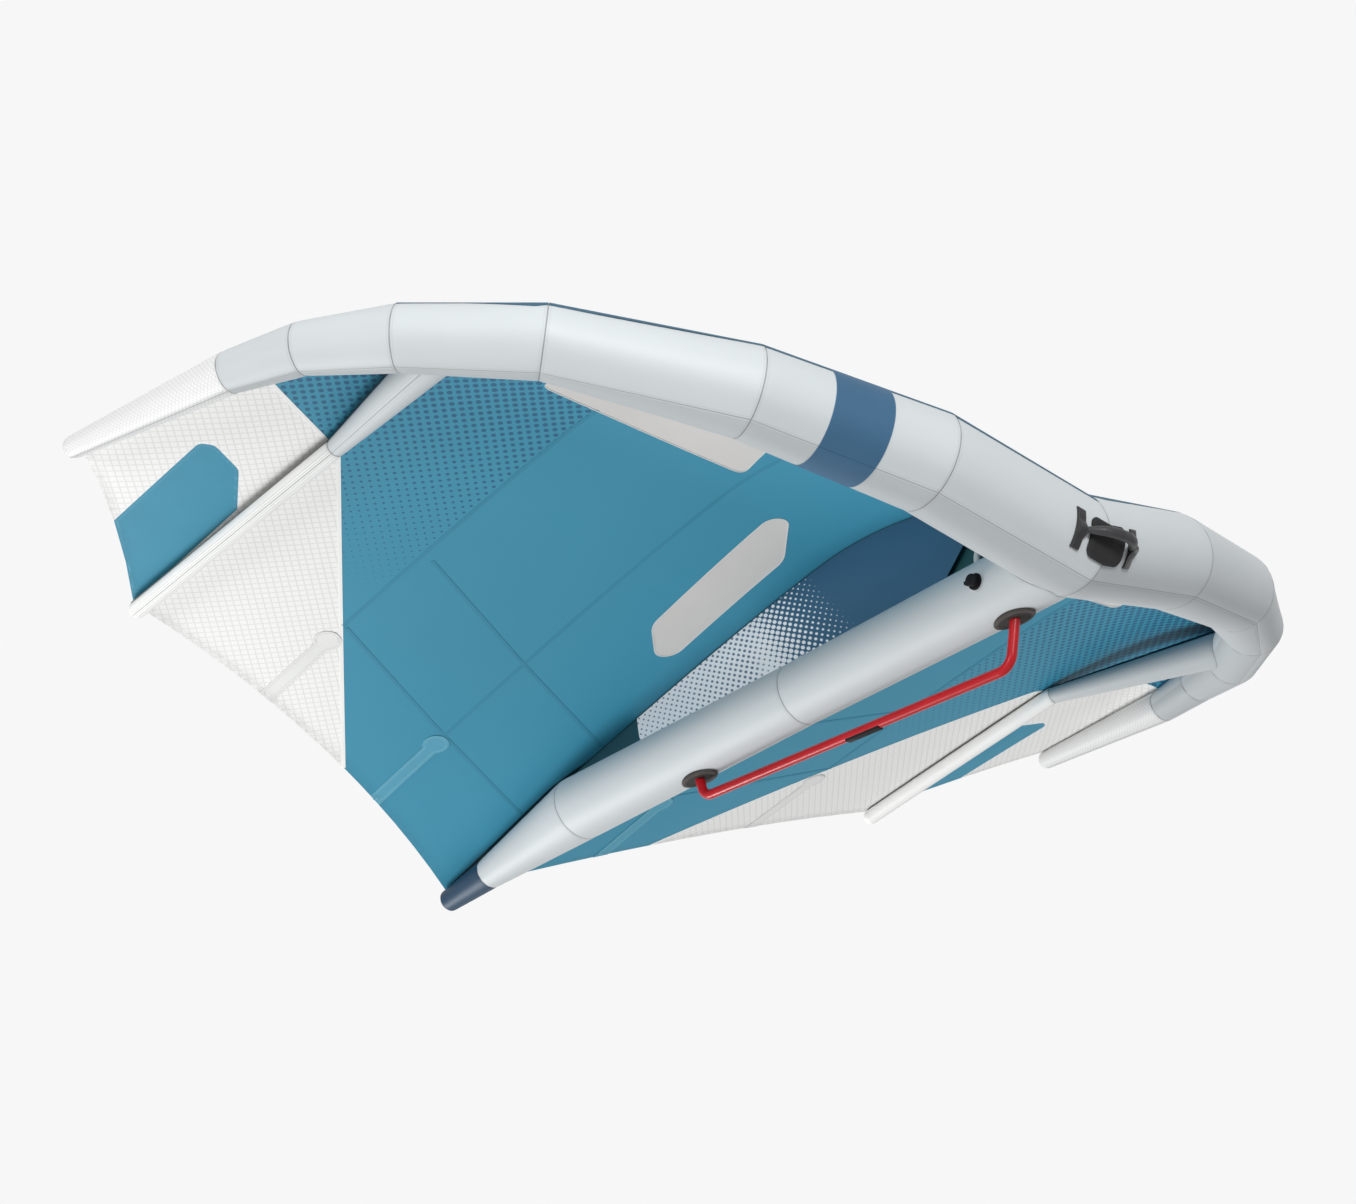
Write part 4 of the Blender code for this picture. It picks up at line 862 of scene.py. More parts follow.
def dome(centre, axis, loop, depth, columns, steps=6):
    """Narrowing loops of a rounded end, added to the skin's attributes."""
    loops = []
    for i in range(1, steps + 1):
        turn = math.pi / 2 * i / steps
        width = max(math.cos(turn), 0.02)
        loops.append(centre + (loop - centre) * width + axis * depth * math.sin(turn))
    for key, values in columns.items():
        last = values[-1]
        if key == "to_ring":
            values += [np.full(len(last), 1.0) for _ in loops]
        elif key == "along":
            values += [last + depth * (i + 1) / steps for i in range(steps)]
        else:
            values += [last * math.cos(math.pi / 2 * (i + 1) / (steps + 1)) for i in range(steps)]
    return loops


def shell(name, loops, columns, material, side=1, closed_end=False):
    """A casing with a wall: the outer skin, an inner one, and rims or a closed end."""
    inner = []
    for loop in loops:
        centre = loop.mean(0)
        reach = np.linalg.norm(loop - centre, axis=1)[:, None]
        inner.append(centre + (loop - centre) * np.maximum(1 - cloth_wall / reach, 0.3))
    if closed_end:
        inner[-1] = inner[-1] - unit(loops[-1].mean(0) - loops[0].mean(0)) * cloth_wall
    count = len(loops[0])
    total = len(loops)
    points = np.concatenate(loops + inner)
    faces = []
    for start in (0, total * count):
        for step in range(total - 1):
            faces += bridge(start + step * count, start + (step + 1) * count, count)
    faces += bridge(0, total * count, count)
    outer_last, inner_last = (total - 1) * count, (2 * total - 1) * count
    if closed_end:
        faces += [tuple(range(outer_last, outer_last + count)), tuple(range(inner_last, inner_last + count))]
    else:
        faces += bridge(outer_last, inner_last, count)
    attributes = {key: np.tile(np.ravel(values), 2) for key, values in columns.items()}
    return make_piece(name, points, faces, material, side, attributes)


def add_casing(name, loops, columns, material, slot, node, side=1, closed_end=False):
    piece = shell(name, loops, columns, material, side, closed_end)
    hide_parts(node)


def dress_leading_edge(cloth, tip_cloth):
    for k in range(ring_count - 1):
        radius = (ring_radii[k] + ring_radii[k + 1]) / 2
        turns = turns_from_seam(radius)
        half_gap = segment_axis(k) * touch_gap / 2
        first = ring_points(k, long_seam_angles[k] + turns) + half_gap
        last = ring_points(k + 1, long_seam_angles[k + 1] + turns) - half_gap
        for side, word in halves:
            if k < ring_count - 2:
                name, node = f"leading_edge_cloth_{k + 1}_{word}", f"leading_edge_segment_{k + 1}_{word}"
                add_casing(name, *tube_skin(first, last, turns, radius), cloth, "grey_sailcloth", node, side)
                continue
            loops, columns = tube_skin(first, last, turns, radius, (True, False))
            loops += dome(ring_centres[k + 1], segment_axis(k), loops[-1], ring_radii[k + 1], columns)
            name, node = f"tip_sleeve_{word}", f"leading_edge_tip_{word}"
            add_casing(name, loops, columns, tip_cloth, "white_ripstop", node, side, True)


def skin_points(k, share, angles, offset):
    """Points on segment k at an offset from its cloth."""
    near, far = ring_points(k, angles), ring_points(k + 1, angles)
    return near * (1 - share) + far * share + offset * round_directions(segment_axis(k), angles)


def tube_patch(name, k, shares, angles, thickness, material, side):
    """A thin curved patch on a segment of the tube."""
    angles = np.broadcast_to(angles, (len(shares), np.shape(angles)[-1]))
    length = np.linalg.norm(ring_centres[k + 1] - ring_centres[k])
    loops, columns = [], {"along": [], "across": [], "to_edge": []}
    for share, row in zip(shares, angles):
        low, high = (skin_points(k, share, row, offset) for offset in (band_lift, band_lift + thickness))
        loops.append(np.concatenate((low, high[::-1])))
        arcs = np.radians(row - row[0]) * ring_radii[k]
        columns["along"].append(np.concatenate((arcs, arcs[::-1])))
        near, far = share - shares[0], shares[-1] - share
        columns["across"].append(np.full(2 * len(row), 2 * near / (near + far) - 1))
        columns["to_edge"].append(np.full(2 * len(row), min(near, far) * length))
    add_piece(name, loops, material, "navy_cloth", None, side, columns)


def dress_band(material):
    angles = np.linspace(band_first_angle, band_last_angle, 60)
    shares = np.linspace(band_start_share, band_end_share, 15)
    tube_patch("leading_edge_band", band_segment, shares, angles, band_thickness, material, -1)


def dress_top_tape(material):
    """The dark tape that ties the canopy to the top of the tube."""
    places = np.linspace(0.002, 0.998, 24)
    for side, word in halves:
        for k, shares, reaches in top_tapes[word]:
            angles = [np.linspace(top_tape_start, reach, 14) for reach in np.interp(places, shares, reaches)]
            tube_patch(f"canopy_tie_tape_{k + 1}_{word}", k, places, angles, tape_thickness, material, side)


# Centre strut

strut_places = strut_length * strut_place_shares
strut_heights = strut_root_height + strut_rise * strut_rise_shares
strut_stations = np.column_stack((0 * strut_places, strut_places, strut_heights))
strut_radii = strut_radius * strut_radius_shares


def strut_centre(place):
    return np.array((0.0, place, np.interp(place, strut_places, strut_heights)))


def strut_skin_radius(place):
    return np.interp(place, strut_places, strut_radii)


def strut_direction(k):
    return unit(strut_stations[k + 1] - strut_stations[k])


def strut_circle(centre, axis, radius, turns):
    """A loop round the strut. Its long seam runs along the top, under the web."""
    top = np.cross(sideways, axis)
    angles = np.radians(90 + turns)[:, None]
    return centre + radius * (np.cos(angles) * sideways + np.sin(angles) * top)


def strut_loop(k, turns, slide):
    axis = unit(strut_direction(k - 1) + strut_direction(k))
    return strut_circle(strut_stations[k], axis, strut_radii[k], turns) + slide


def distance_to_segment(point, k):
    """How far a point stands off the skin of its own half's leading edge segment."""
    point = np.array((abs(point[0]), point[1], point[2]))
    start, run = ring_centres[k], ring_centres[k + 1] - ring_centres[k]
    axis = unit(run)
    share = (point - start) @ axis / np.linalg.norm(run)
    reach = point - start - run * share
    widths = []
    for end in (k, k + 1):
        normal = ring_axis(end)
        slanted = reach - axis * (reach @ normal) / (axis @ normal)
        narrowing = np.linalg.norm(reach) / max(np.linalg.norm(slanted), touch_gap)
        widths.append(ring_radii[end] * narrowing)
    return np.linalg.norm(reach) - widths[0] - (widths[1] - widths[0]) * share


def reach_leading_edge(point, direction, k, gap):
    """Slides a point from inside the tube along the direction to its skin."""
    near, far = 0.0, 2 * (nose_radius + strut_radius)
    for _ in range(30):
        middle = (near + far) / 2
        if distance_to_segment(point + direction * middle, k) < gap:
            near = middle
        else:
            far = middle
    return point + direction * far


def onto_nose(loop, direction, gap, k=0):
    """The loop slid along a direction until it stands on a segment's skin."""
    return np.array([reach_leading_edge(point, direction, k, gap) for point in loop])


def dress_strut(cloth, tail_cloth):
    turns = turns_from_seam(strut_radius)
    for k, word in enumerate(("front", "middle", "rear")):
        axis = strut_direction(k)
        half_gap = axis * touch_gap / 2
        if k == 0:
            first = onto_nose(strut_circle(strut_stations[0], axis, strut_radius, turns), axis, 2 * touch_gap)
        else:
            first = strut_loop(k, turns, half_gap)
        loops, columns = tube_skin(first, strut_loop(k + 1, turns, -half_gap), turns, strut_radius)
        add_casing(f"strut_{word}_cloth", loops, columns, cloth, "grey_sailcloth", f"strut_{word}_casing")
    k = len(strut_radii) - 2
    axis, radius = strut_direction(k), strut_radii[k + 1]
    end = strut_stations[k + 1] - axis * radius / 2
    first, last = strut_loop(k, turns, axis * touch_gap / 2), strut_circle(end, axis, radius, turns)
    loops, columns = tube_skin(first, last, turns, radius, (True, False))
    loops += dome(end, axis, loops[-1], radius / 2, columns)
    add_casing("strut_tail_sleeve", loops, columns, tail_cloth, "navy_cloth", "strut_tail", closed_end=True)


# Canopy surface

seat_points = np.array([ring_points(k, [seat_angles[k]], seat_gap)[0] for k in range(ring_count)])
tail_point = np.array((0.0, strut_length + tail_overhang, strut_heights[-1] + strut_radii[-1] + solid_thickness))
quarter_height = tail_point[2] + (ring_centres[-1][2] - tail_point[2]) * trailing_height_share
quarter_corner = np.array((quarter_end_span, quarter_end_setback + trailing_reach, quarter_height))
tip_point = seat_points[-1] + rearward * tip_edge


def front_edge(span):
    """The canopy's front edge at a distance from the centre, as place and height."""
    place = np.interp(span, seat_points[:, 0], seat_points[:, 1])
    return place, np.interp(span, seat_points[:, 0], seat_points[:, 2])


def trailing_edge(span):
    """The hollow trailing edge at a distance from the centre, as place and height."""
    tail, corner, tip = tail_point, quarter_corner, tip_point
    inner = np.clip(span / corner[0], 0, 1)
    outer = np.clip((span - corner[0]) / (tip[0] - corner[0]), 0, 1)
    place = tail[1] + (corner[1] - tail[1]) * inner - 4 * trailing_hollow * inner * (1 - inner)
    place = place + (tip[1] - corner[1]) * outer - 4 * tip_hollow * outer * (1 - outer)
    height = tail[2] + (corner[2] - tail[2]) * inner + (tip[2] - corner[2]) * outer
    return place, height


def camber_share(span):
    spans = (0.0, quarter_end_span, tip_point[0])
    return np.interp(span, spans, (centre_camber_share, quarter_camber_share, tip_camber_share))


def canopy_height(span, place):
    """The height of the canopy's underside over points of its plan."""
    span = np.abs(span)
    front_place, front_height = front_edge(span)
    rear_place, rear_height = trailing_edge(span)
    chord = rear_place - front_place
    share = np.clip((place - front_place) / chord, 0, 1)
    front = 1 - ((draft_share - share) / draft_share) ** 2
    rear = 1 - (np.maximum(share - draft_share, 0) / (1 - draft_share)) ** rear_fall_power
    shape = np.where(share < draft_share, front, rear)
    straight = front_height + (rear_height - front_height) * share
    return straight + camber_share(span) * chord * shape


# Outlines in plan


def divided(loop, step, closed=True):
    """The line with its long sides divided into even steps."""
    loop = np.asarray(loop, float)
    points = []
    sides = len(loop) if closed else len(loop) - 1
    for i in range(sides):
        start, end = loop[i], loop[(i + 1) % len(loop)]
        parts = max(1, math.ceil(np.linalg.norm(end - start) / step))
        points += [start + (end - start) * j / parts for j in range(parts)]
    if not closed:
        points.append(loop[-1])
    return np.array(points)


def edge_normals(line, closed):
    """Directions in plan square to a line, at each of its points."""
    line = np.asarray(line, float)
    if closed:
        run = np.roll(line, -1, 0) - np.roll(line, 1, 0)
    else:
        run = np.gradient(line, axis=0)
    run /= np.linalg.norm(run, axis=1)[:, None]
    return np.column_stack((-run[:, 1], run[:, 0]))


def shrunk(loop, distance):
    """The loop moved inwards by a distance, or outwards if it is negative."""
    area = np.cross(np.roll(loop, 1, 0), loop).sum()
    return loop + edge_normals(loop, True) * distance * (1 if area > 0 else -1)


def rounded(loop, radius, steps=7):
    """The loop with each corner replaced by a short curve."""
    points = []
    loop = np.asarray(loop, float)
    for i, corner in enumerate(loop):
        start = corner + unit(loop[i - 1] - corner) * radius
        end = corner + unit(loop[(i + 1) % len(loop)] - corner) * radius
        for share in np.linspace(0, 1, steps + 1):
            first = start + (corner - start) * share
            points.append(first + (corner + (end - corner) * share - first) * share)
    return np.array(points)


def inside(points, loop):
    """Which points of the plan lie inside a loop."""
    found = np.zeros(len(points), bool)
    for start, end in zip(np.roll(loop, 1, 0), loop):
        if start[1] == end[1]:
            continue
        crosses = (start[1] > points[:, 1]) != (end[1] > points[:, 1])
        share = (points[:, 1] - start[1]) / (end[1] - start[1])
        found ^= crosses & (points[:, 0] < start[0] + share * (end[0] - start[0]))
    return found


def clearance(points, loop):
    """The distance from points of the plan to the nearest side of a loop."""
    nearest = np.full(len(points), half_span)
    for start, end in zip(np.roll(loop, 1, 0), loop):
        run = end - start
        share = np.clip((points - start) @ run / max(run @ run, 1e-12), 0, 1)
        nearest = np.minimum(nearest, np.linalg.norm(points - start - share[:, None] * run, axis=1))
    return nearest


def sheet_mesh(outline, holes, step, drop, thickness):
    """Points and faces of a thin curved panel over an outline."""
    loops = [outline] + holes
    flat = np.concatenate(loops)
    sides, start = [], 0
    for loop in loops:
        count = len(loop)
        sides += [(start + i, start + (i + 1) % count) for i in range(count)]
        start += count
    low, high = outline.min(0), outline.max(0)
    xs = np.arange(math.floor(low[0] / step), math.ceil(high[0] / step)) * step
    ys = np.arange(math.floor(low[1] / step), math.ceil(high[1] / step)) * step
    grid = np.stack(np.meshgrid(xs, ys), -1).reshape(-1, 2)
    keep = inside(grid, outline)
    for loop in holes:
        keep &= ~inside(grid, loop)
    grid = grid[keep]
    keep = np.ones(len(grid), bool)
    for loop in loops:
        keep &= clearance(grid, loop) > 0.45 * step
    flat = np.concatenate((flat, grid[keep]))
    flat, _, triangles, *_ = delaunay_2d_cdt([Vector(p) for p in flat], sides, [], 0, 1e-7)
    flat = np.array([tuple(p) for p in flat])
    triangles = np.array([tuple(t) for t in triangles])
    middle = flat[triangles].mean(1)
    keep = inside(middle, outline)
    for loop in holes:
        keep &= ~inside(middle, loop)
    triangles = triangles[keep]
    used = np.unique(triangles)
    index = np.zeros(len(flat), int)
    index[used] = np.arange(len(used))
    flat, triangles = flat[used], index[triangles]
    height = canopy_height(flat[:, 0], flat[:, 1]) - drop
    low = np.column_stack((flat, height))
    top = low + up * thickness
    count = len(low)
    under = [tuple(int(i) for i in triangle) for triangle in triangles]
    over = [tuple(i + count for i in reversed(triangle)) for triangle in under]
    edges = {(triangle[i - 1], triangle[i]) for triangle in under for i in range(3)}
    walls = [(b, a, a + count, b + count) for a, b in edges if (b, a) not in edges]
    return np.concatenate((low, top)), under + over + walls, flat


def cloth_area(points, faces):
    """The area of one side of a sheet: half of all its triangles."""
    triangles = np.array([face for face in faces if len(face) == 3])
    first, second, third = (points[triangles[:, i]] for i in range(3))
    return float(np.linalg.norm(np.cross(second - first, third - first), axis=1).sum() / 4)


def add_sheet(name, outline, holes, material, side, node, step, drop=0.0):
    """One sewn panel, half a gap smaller all round than its outline."""
    border = shrunk(divided(outline, step), touch_gap / 2)
    cuts = [shrunk(divided(hole, step), -touch_gap / 2) for hole in holes]
    points, faces, flat = sheet_mesh(border, cuts, step, drop, sheet_thickness)
    to_edge = np.min([clearance(flat, loop) for loop in [border] + cuts], 0)
    front = front_edge(flat[:, 0])[0]
    fade = (flat[:, 1] - front - dot_fade_start) / (dot_fade_end - dot_fade_start - front)
    attributes = {
        "to_edge": np.tile(to_edge, 2),
        "to_tail": np.tile(trailing_edge(flat[:, 0])[0] - flat[:, 1], 2),
        "dot_size": np.tile(dot_widest * (1 - np.clip(fade, 0, 1) ** 1.1), 2),
    }
    piece = make_piece(name, points, faces, material, side, attributes)
    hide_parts(node)
    area = cloth_area(points, faces)
    plan_size = border.max(0) - border.min(0)
    stretch = max(1.0, math.sqrt(area / plan_size.prod()) * 1.001)
    width, length = plan_size * stretch


def front_run(start, end):
    spans = [span for span in seat_points[:, 0] if start < span < end]
    return [(span, front_edge(span)[0]) for span in [start] + spans + [end]]


def rear_run(start, end, step=0.11):
    steps = max(2, math.ceil(abs(end - start) / step))
    spans = list(np.linspace(start, end, steps + 1))
    if min(start, end) < quarter_end_span < max(start, end):
        spans = sorted(set(spans) | {quarter_end_span}, reverse=end < start)
    return [(span, float(trailing_edge(span)[0])) for span in spans]


white_rear = (white_seam_span, float(trailing_edge(white_seam_span)[0]))
white_corner = (white_corner_span, white_corner_setback)
outer_seam_share = (outer_seam_span - white_seam_span) / (white_corner_span - white_seam_span)
outer_seam_end = (outer_seam_span, white_rear[1] + (white_corner_setback - white_rear[1]) * outer_seam_share)
patch_side = quarter_end_span + patch_width


def patch_front_side():
    corners = [
        (quarter_end_span, patch_front + patch_inner_drop),
        (patch_side - patch_shoulder, patch_front + patch_corner_drop),
        (patch_side - patch_corner, patch_front),
        (patch_side, patch_front + patch_corner_drop / 2),
        (patch_side, patch_front + patch_inner_drop),
    ]
    soft = rounded(corners, patch_corner_drop / 3, 3)
    return [corners[0]] + [tuple(point) for point in soft[4:-4]]


def tip_panel_outline():
    outline = front_run(seat_points[-2][0], seat_points[-1][0]) + rear_run(tip_point[0], patch_side)
    outline += patch_front_side()[::-1] + rear_run(quarter_end_span, white_seam_span)
    return outline + [white_corner]


def rear_window_outline():
    across = rear_window_inner + rear_window_width * rear_window_width_shares
    along = rear_window_front + rear_window_length * rear_window_length_shares
    return rounded(np.column_stack((across, along)), rear_window_corner)


def front_window_outline():
    inner, outer = front_window_inner, front_window_inner + front_window_length
    front = front_window_rear - front_window_width
    corners = [
        (inner + front_window_slant, front),
        (inner, front_window_rear),
        (outer, front_window_rear + front_window_skew),
        (outer - front_window_slant, front + front_window_skew),
    ]
    return rounded(corners, front_window_corner)


def pocket_outline(span):
    """A batten pocket: a strip from the trailing edge forwards to a round end."""
    half, radius = pocket_width / 2, pocket_bulb_radius
    front = trailing_edge(span)[0] - pocket_length + radius
    outline = [(place, trailing_edge(place)[0] - 3 * touch_gap) for place in (span + half, span - half)]
    narrow = math.asin(half / radius)
    turns = np.linspace(math.pi / 2 + narrow, math.pi / 2 + 2 * math.pi - narrow, 19)
    outline += [(span + math.cos(turn) * radius, front + math.sin(turn) * radius) for turn in turns]
    return np.array(outline)


def dress_canopy(cloths):
    rear_window, front_window = rear_window_outline(), front_window_outline()
    inner = front_run(0.0, inner_seam_span) + rear_run(inner_seam_span, 0.0)
    middle = front_run(inner_seam_span, outer_seam_span) + [outer_seam_end]
    middle += rear_run(white_seam_span, inner_seam_span)
    outer = front_run(outer_seam_span, seat_points[-2][0]) + [white_corner, outer_seam_end]
    patch = patch_front_side() + rear_run(patch_side, quarter_end_span)
    panels = (
        ("inner_panel", inner, [rear_window], "teal", "teal_cloth"),
        ("middle_panel", middle, [front_window], "teal", "teal_cloth"),
        ("outer_panel", outer, [front_window], "halftone", "halftone_cloth"),
        ("tip_panel", tip_panel_outline(), [], "white", "white_ripstop"),
        ("tip_patch", patch, [], "patch", "teal_cloth"),
        ("rear_window", rear_window, [], "window", "window_film"),
        ("front_window", front_window, [], "window", "window_film"),
    )
    for side, word in halves:
        for name, outline, holes, cloth, slot in panels:
            step = fine_step if slot == "window_film" else grid_step
            node, rests = f"canopy_{name}_{word}", ["strut_web", f"quarter_strut_casing_{word}"]
            add_sheet(f"{name}_cloth_{word}", outline, holes, cloths[cloth], side, node, step, 0.0)
        for name, span in (("inner", inner_seam_span), ("outer", outer_seam_span)):
            title, node = f"pocket_cloth_{name}_{word}", f"batten_pocket_{name}_{word}"
            drop, cloth = pocket_gap + sheet_thickness, cloths[f"{name}_pocket"]
            add_sheet(title, pocket_outline(span), [], cloth, side, node, fine_step, drop)


# Tapes, hems, rims and painted shadow strips on the canopy


def canopy_strip(name, line, width, material, slot, side=1, over=False, closed=False, lift=0.0):
    """A thin tape along a line of the plan, under or over the canopy."""
    if np.isscalar(width):
        line = divided(line, 0.02, closed)
    width = np.broadcast_to(width, len(line))
    normals, across = edge_normals(line, closed), np.linspace(-1, 1, 5)
    near, far = lift + strip_gap, lift + strip_gap + tape_thickness
    if over:
        near, far = sheet_thickness + near, sheet_thickness + far
    else:
        near, far = -near, -far
    loops, columns, along = [], {"along": [], "across": []}, 0.0
    for i, point in enumerate(line):
        along += np.linalg.norm(point - line[i - 1]) if i else 0.0
        flat = point + across[:, None] * normals[i] * width[i] / 2
        height = canopy_height(flat[:, 0], flat[:, 1])
        first, second = (np.column_stack((flat, height + level)) for level in (near, far))
        loops.append(np.concatenate((first, second[::-1])))
        columns["along"].append(np.full(2 * len(across), along))
        columns["across"].append(np.concatenate((across, across[::-1])))
    add_piece(name, loops, material, slot, None, side, columns, "ring" if closed else "cap")


def beside_window(start, end):
    """The two parts of a straight seam that the front window leaves."""
    start, end = np.array(start), np.array(end)
    points = start + np.linspace(0, 1, 400)[:, None] * (end - start)
    covered = np.flatnonzero(inside(points, front_window_outline()))
    return [start, points[covered[0]]], [points[covered[-1]], end]


def dress_seams(cloths):
    before, behind = beside_window(front_run(outer_seam_span, outer_seam_span)[0], outer_seam_end)
    inner = [front_run(inner_seam_span, inner_seam_span)[0], rear_run(inner_seam_span, 0.0)[0]]
    seams = [("inner", inner), ("outer_front", before), ("outer", behind)]
    seams += [(f"cross_{i + 1}", line) for i, line in enumerate(cross_seams)]
    white = [white_rear, white_corner, seat_points[-2][:2]]
    windows = (("rear", rear_window_outline()), ("front", front_window_outline()))
    for side, word in halves:
        for over, where in ((False, "under"), (True, "over")):
            for name, line in seams:
                title = f"seam_{name}_{where}_{word}"
                canopy_strip(title, line, seam_tape_width, cloths["seam"], "teal_cloth", side, over)
            title, cloth = f"seam_white_{where}_{word}", cloths["white_seam"]
            canopy_strip(title, white, seam_tape_width, cloth, "white_ripstop", side, over)
            for name, outline in windows:
                title = f"rim_{name}_window_{where}_{word}"
                canopy_strip(title, outline, rim_width, cloths["rim"], "window_film", side, over, True, 0.0002)


def dress_web_tape_and_strut_shadow(cloths):
    """A dark tape that joins the canopy to its web, and behind the web a dark strip along the strut's top that is
    painted shadow.
    """
    places = np.linspace(web_head_place + 0.02, web_print_end, 60)
    line = np.column_stack((0 * places, places))
    widths = np.full(60, seam_tape_width)
    canopy_strip("web_top_tape", line, widths, cloths["web_line"], "navy_cloth", lift=strut_tape_lift)
    # Behind the web, a dark strip along the strut's top, painted as shadow.
    places = np.linspace(web_print_end, strut_length - 0.03, 40)
    line = np.column_stack((0 * places, places))
    near = np.clip((places - shadow_grow_start) / (shadow_grow_end - shadow_grow_start), 0, 1)
    widths = web_thickness * 4 * (1 - near) + (strut_shadow_share * strut_skin_radius(places) - strut_shadow_less) * near
    canopy_strip("strut_top_painted_shadow", line, widths, cloths["shadow"], "navy_cloth", lift=strut_tape_lift)


# Web between the strut and the canopy


def strut_top(place, aside=0.0):
    centre = strut_centre(place)
    ahead = strut_centre(place + touch_gap) - centre
    slope = ahead[2] / ahead[1]
    reach = math.sqrt(strut_skin_radius(place) ** 2 - aside * aside)
    return centre[2] + reach * math.sqrt(1 + slope * slope)


def web_low(place):
    if place >= web_foot_place:
        return strut_top(place) + 2 * touch_gap
    head = canopy_height(0.0, web_head_place) - web_nose_height
    foot = strut_top(web_foot_place) + 2 * touch_gap
    share = (place - web_head_place) / (web_foot_place - web_head_place)
    return head + (foot - head) * share


def dress_web(cloths):
    """The printed web, and behind it a dark strip that closes the narrow gap: its dark colour is painted shade."""
    half, levels = web_thickness / 2, 6
    swell = np.sin(np.linspace(0, math.pi, levels))
    for name, start, end, cloth in (
        ("web_cloth", web_head_place, web_print_end, "web"),
        ("web_strip_painted_shade", web_print_end, web_end_place, "web_strip_painted_shade"),
    ):
        loops, columns = [], {"print_share": [], "dot_start": []}
        for place in sorted({*np.linspace(start, end, 60), max(start, web_foot_place)}):
            low, high = web_low(place), float(canopy_height(0.0, place)) - 2 * touch_gap
            heights = np.linspace(low, max(high, low + 0.001), levels)
            bow = half + web_bow * swell * min(1.0, (high - low) / 0.2)
            sides = [(x, place + 0 * heights, heights) for x in (-bow, bow)]
            near, far = (np.column_stack(side) for side in sides)
            loops.append(np.concatenate((near, far[::-1])))
            height = loops[-1][:, 2]
            slanted = place + web_dots_slant * (max(height) - height)
            for key, spot in (("print_share", place + 0 * height), ("dot_start", slanted)):
                columns[key].append(np.clip((spot - web_dots_start) / (web_print_end - web_dots_start), 0, 1))
        points, faces = loft(loops)
        piece = add_piece(name, loops, cloths[cloth], "navy_cloth", "strut_web", 1, columns)
        quads = np.array([face for face in faces if len(face) == 4])
        first, second = points[quads[:, 2]] - points[quads[:, 0]], points[quads[:, 3]] - points[quads[:, 1]]
        area = float(np.linalg.norm(np.cross(first, second), axis=1).sum() / 4)
        length = end - start
        height = max(area / length * 1.6, 0.012)


def dress_gusset(material):
    """A dark green cloth in the corner between the nose, the strut and the web: painted shade, standing in for the
    shaded canopy seen there.
    """
    places = np.linspace(0.04, web_foot_place + 0.05, 40)
    left, right = gusset_aside, gusset_aside + web_thickness
    loops, spans = [], []
    for place in places:
        round_back = math.sqrt(nose_radius**2 - place**2) if place < nose_radius else -1.0
        low = max(round_back, strut_top(place, gusset_aside)) + gusset_gap
        high = max(float(canopy_height(gusset_aside, place)) - gusset_gap, low + 0.001)
        loops.append(np.array([(left, place, low), (right, place, low), (right, place, high), (left, place, high)]))
        spans.append(high - low)
    attributes = {"to_tail": np.full(4 * len(places), 1.0)}
    piece = add_piece("web_gusset_painted_shade", loops, material, "navy_cloth", None, 1, attributes)


# Quarter struts


def quarter_points():
    k = quarter_root_segment
    root = ring_centres[k] + (ring_centres[k + 1] - ring_centres[k]) * quarter_root_share
    points = [root + up * quarter_root_lift]
    for span, place, radius in (
        (quarter_break_span, quarter_break_setback, quarter_break_radius),
        (quarter_end_span, quarter_end_setback, quarter_end_radius),
    ):
        height = float(canopy_height(span, place)) - radius - quarter_clearance
        points.append(np.array((span, place, height)))
    return points


def dress_quarter_struts(cloth, sleeve):
    root, middle, end = quarter_points()
    front_axis, rear_axis = unit(middle - root), unit(end - middle)
    wide, half_gap = quarter_break_radius * 1.4, touch_gap / 2
    turns = turns_from_seam(wide)
    angles = quarter_seam_angle + turns
    start = root + quarter_root_radius * round_directions(front_axis, angles)
    start = onto_nose(start, front_axis, 2 * touch_gap, quarter_root_segment)
    seam = middle + quarter_break_radius * round_directions(front_axis + rear_axis, angles)
    last = end + quarter_end_radius * round_directions(rear_axis, angles)
    for side, word in halves:
        loops, columns = tube_skin(start, seam - front_axis * half_gap, turns, wide)
        name, node = f"quarter_strut_cloth_{word}", f"quarter_strut_casing_{word}"
        add_casing(name, loops, columns, cloth, "grey_sailcloth", node, side)
        loops, columns = tube_skin(seam + rear_axis * half_gap, last, turns, quarter_break_radius, (True, False))
        loops += dome(end, rear_axis, loops[-1], quarter_end_radius, columns)
        name, node = f"quarter_strut_cover_{word}", f"quarter_strut_sleeve_{word}"
        add_casing(name, loops, columns, sleeve, "white_ripstop", node, side, True)


def dress_quarter_shadow_tapes(dark, grey):
    """Strips along the top of the quarter struts, where the canopy meets them: dark in front and grey behind, both
    painted shadow.
    """
    root, middle, end = quarter_points()
    parts = (
        ("front", root, middle, quarter_root_radius, quarter_break_radius, quarter_front_reach, dark, "navy_cloth"),
        ("rear", middle, end, quarter_break_radius, quarter_end_radius, quarter_rear_reach, grey, "white_ripstop"),
    )
    place = np.linspace(-1, 1, 19)
    for name, first, last, wide, narrow, reach, material, slot in parts:
        out = round_directions(last - first, np.linspace(*reach, len(place)))
        low = first + wide * out
        if name == "front":
            low = onto_nose(low, unit(last - first), 0.002, quarter_root_segment)
        loops, columns = [], {"along": [], "across": []}
        for share in np.linspace(0.0, 0.995, 60):
            skin = low * (1 - share) + (last + narrow * out) * share
            loops.append(np.concatenate((skin + out * 0.0003, (skin + out * 0.0009)[::-1])))
            columns["along"].append(np.full(len(loops[-1]), share * np.linalg.norm(last - first)))
            columns["across"].append(np.concatenate((place, place[::-1])))
        for side, word in halves:
            add_piece(f"quarter_{name}_tape_{word}", loops, material, slot, None, side, columns)


# Boom and seats


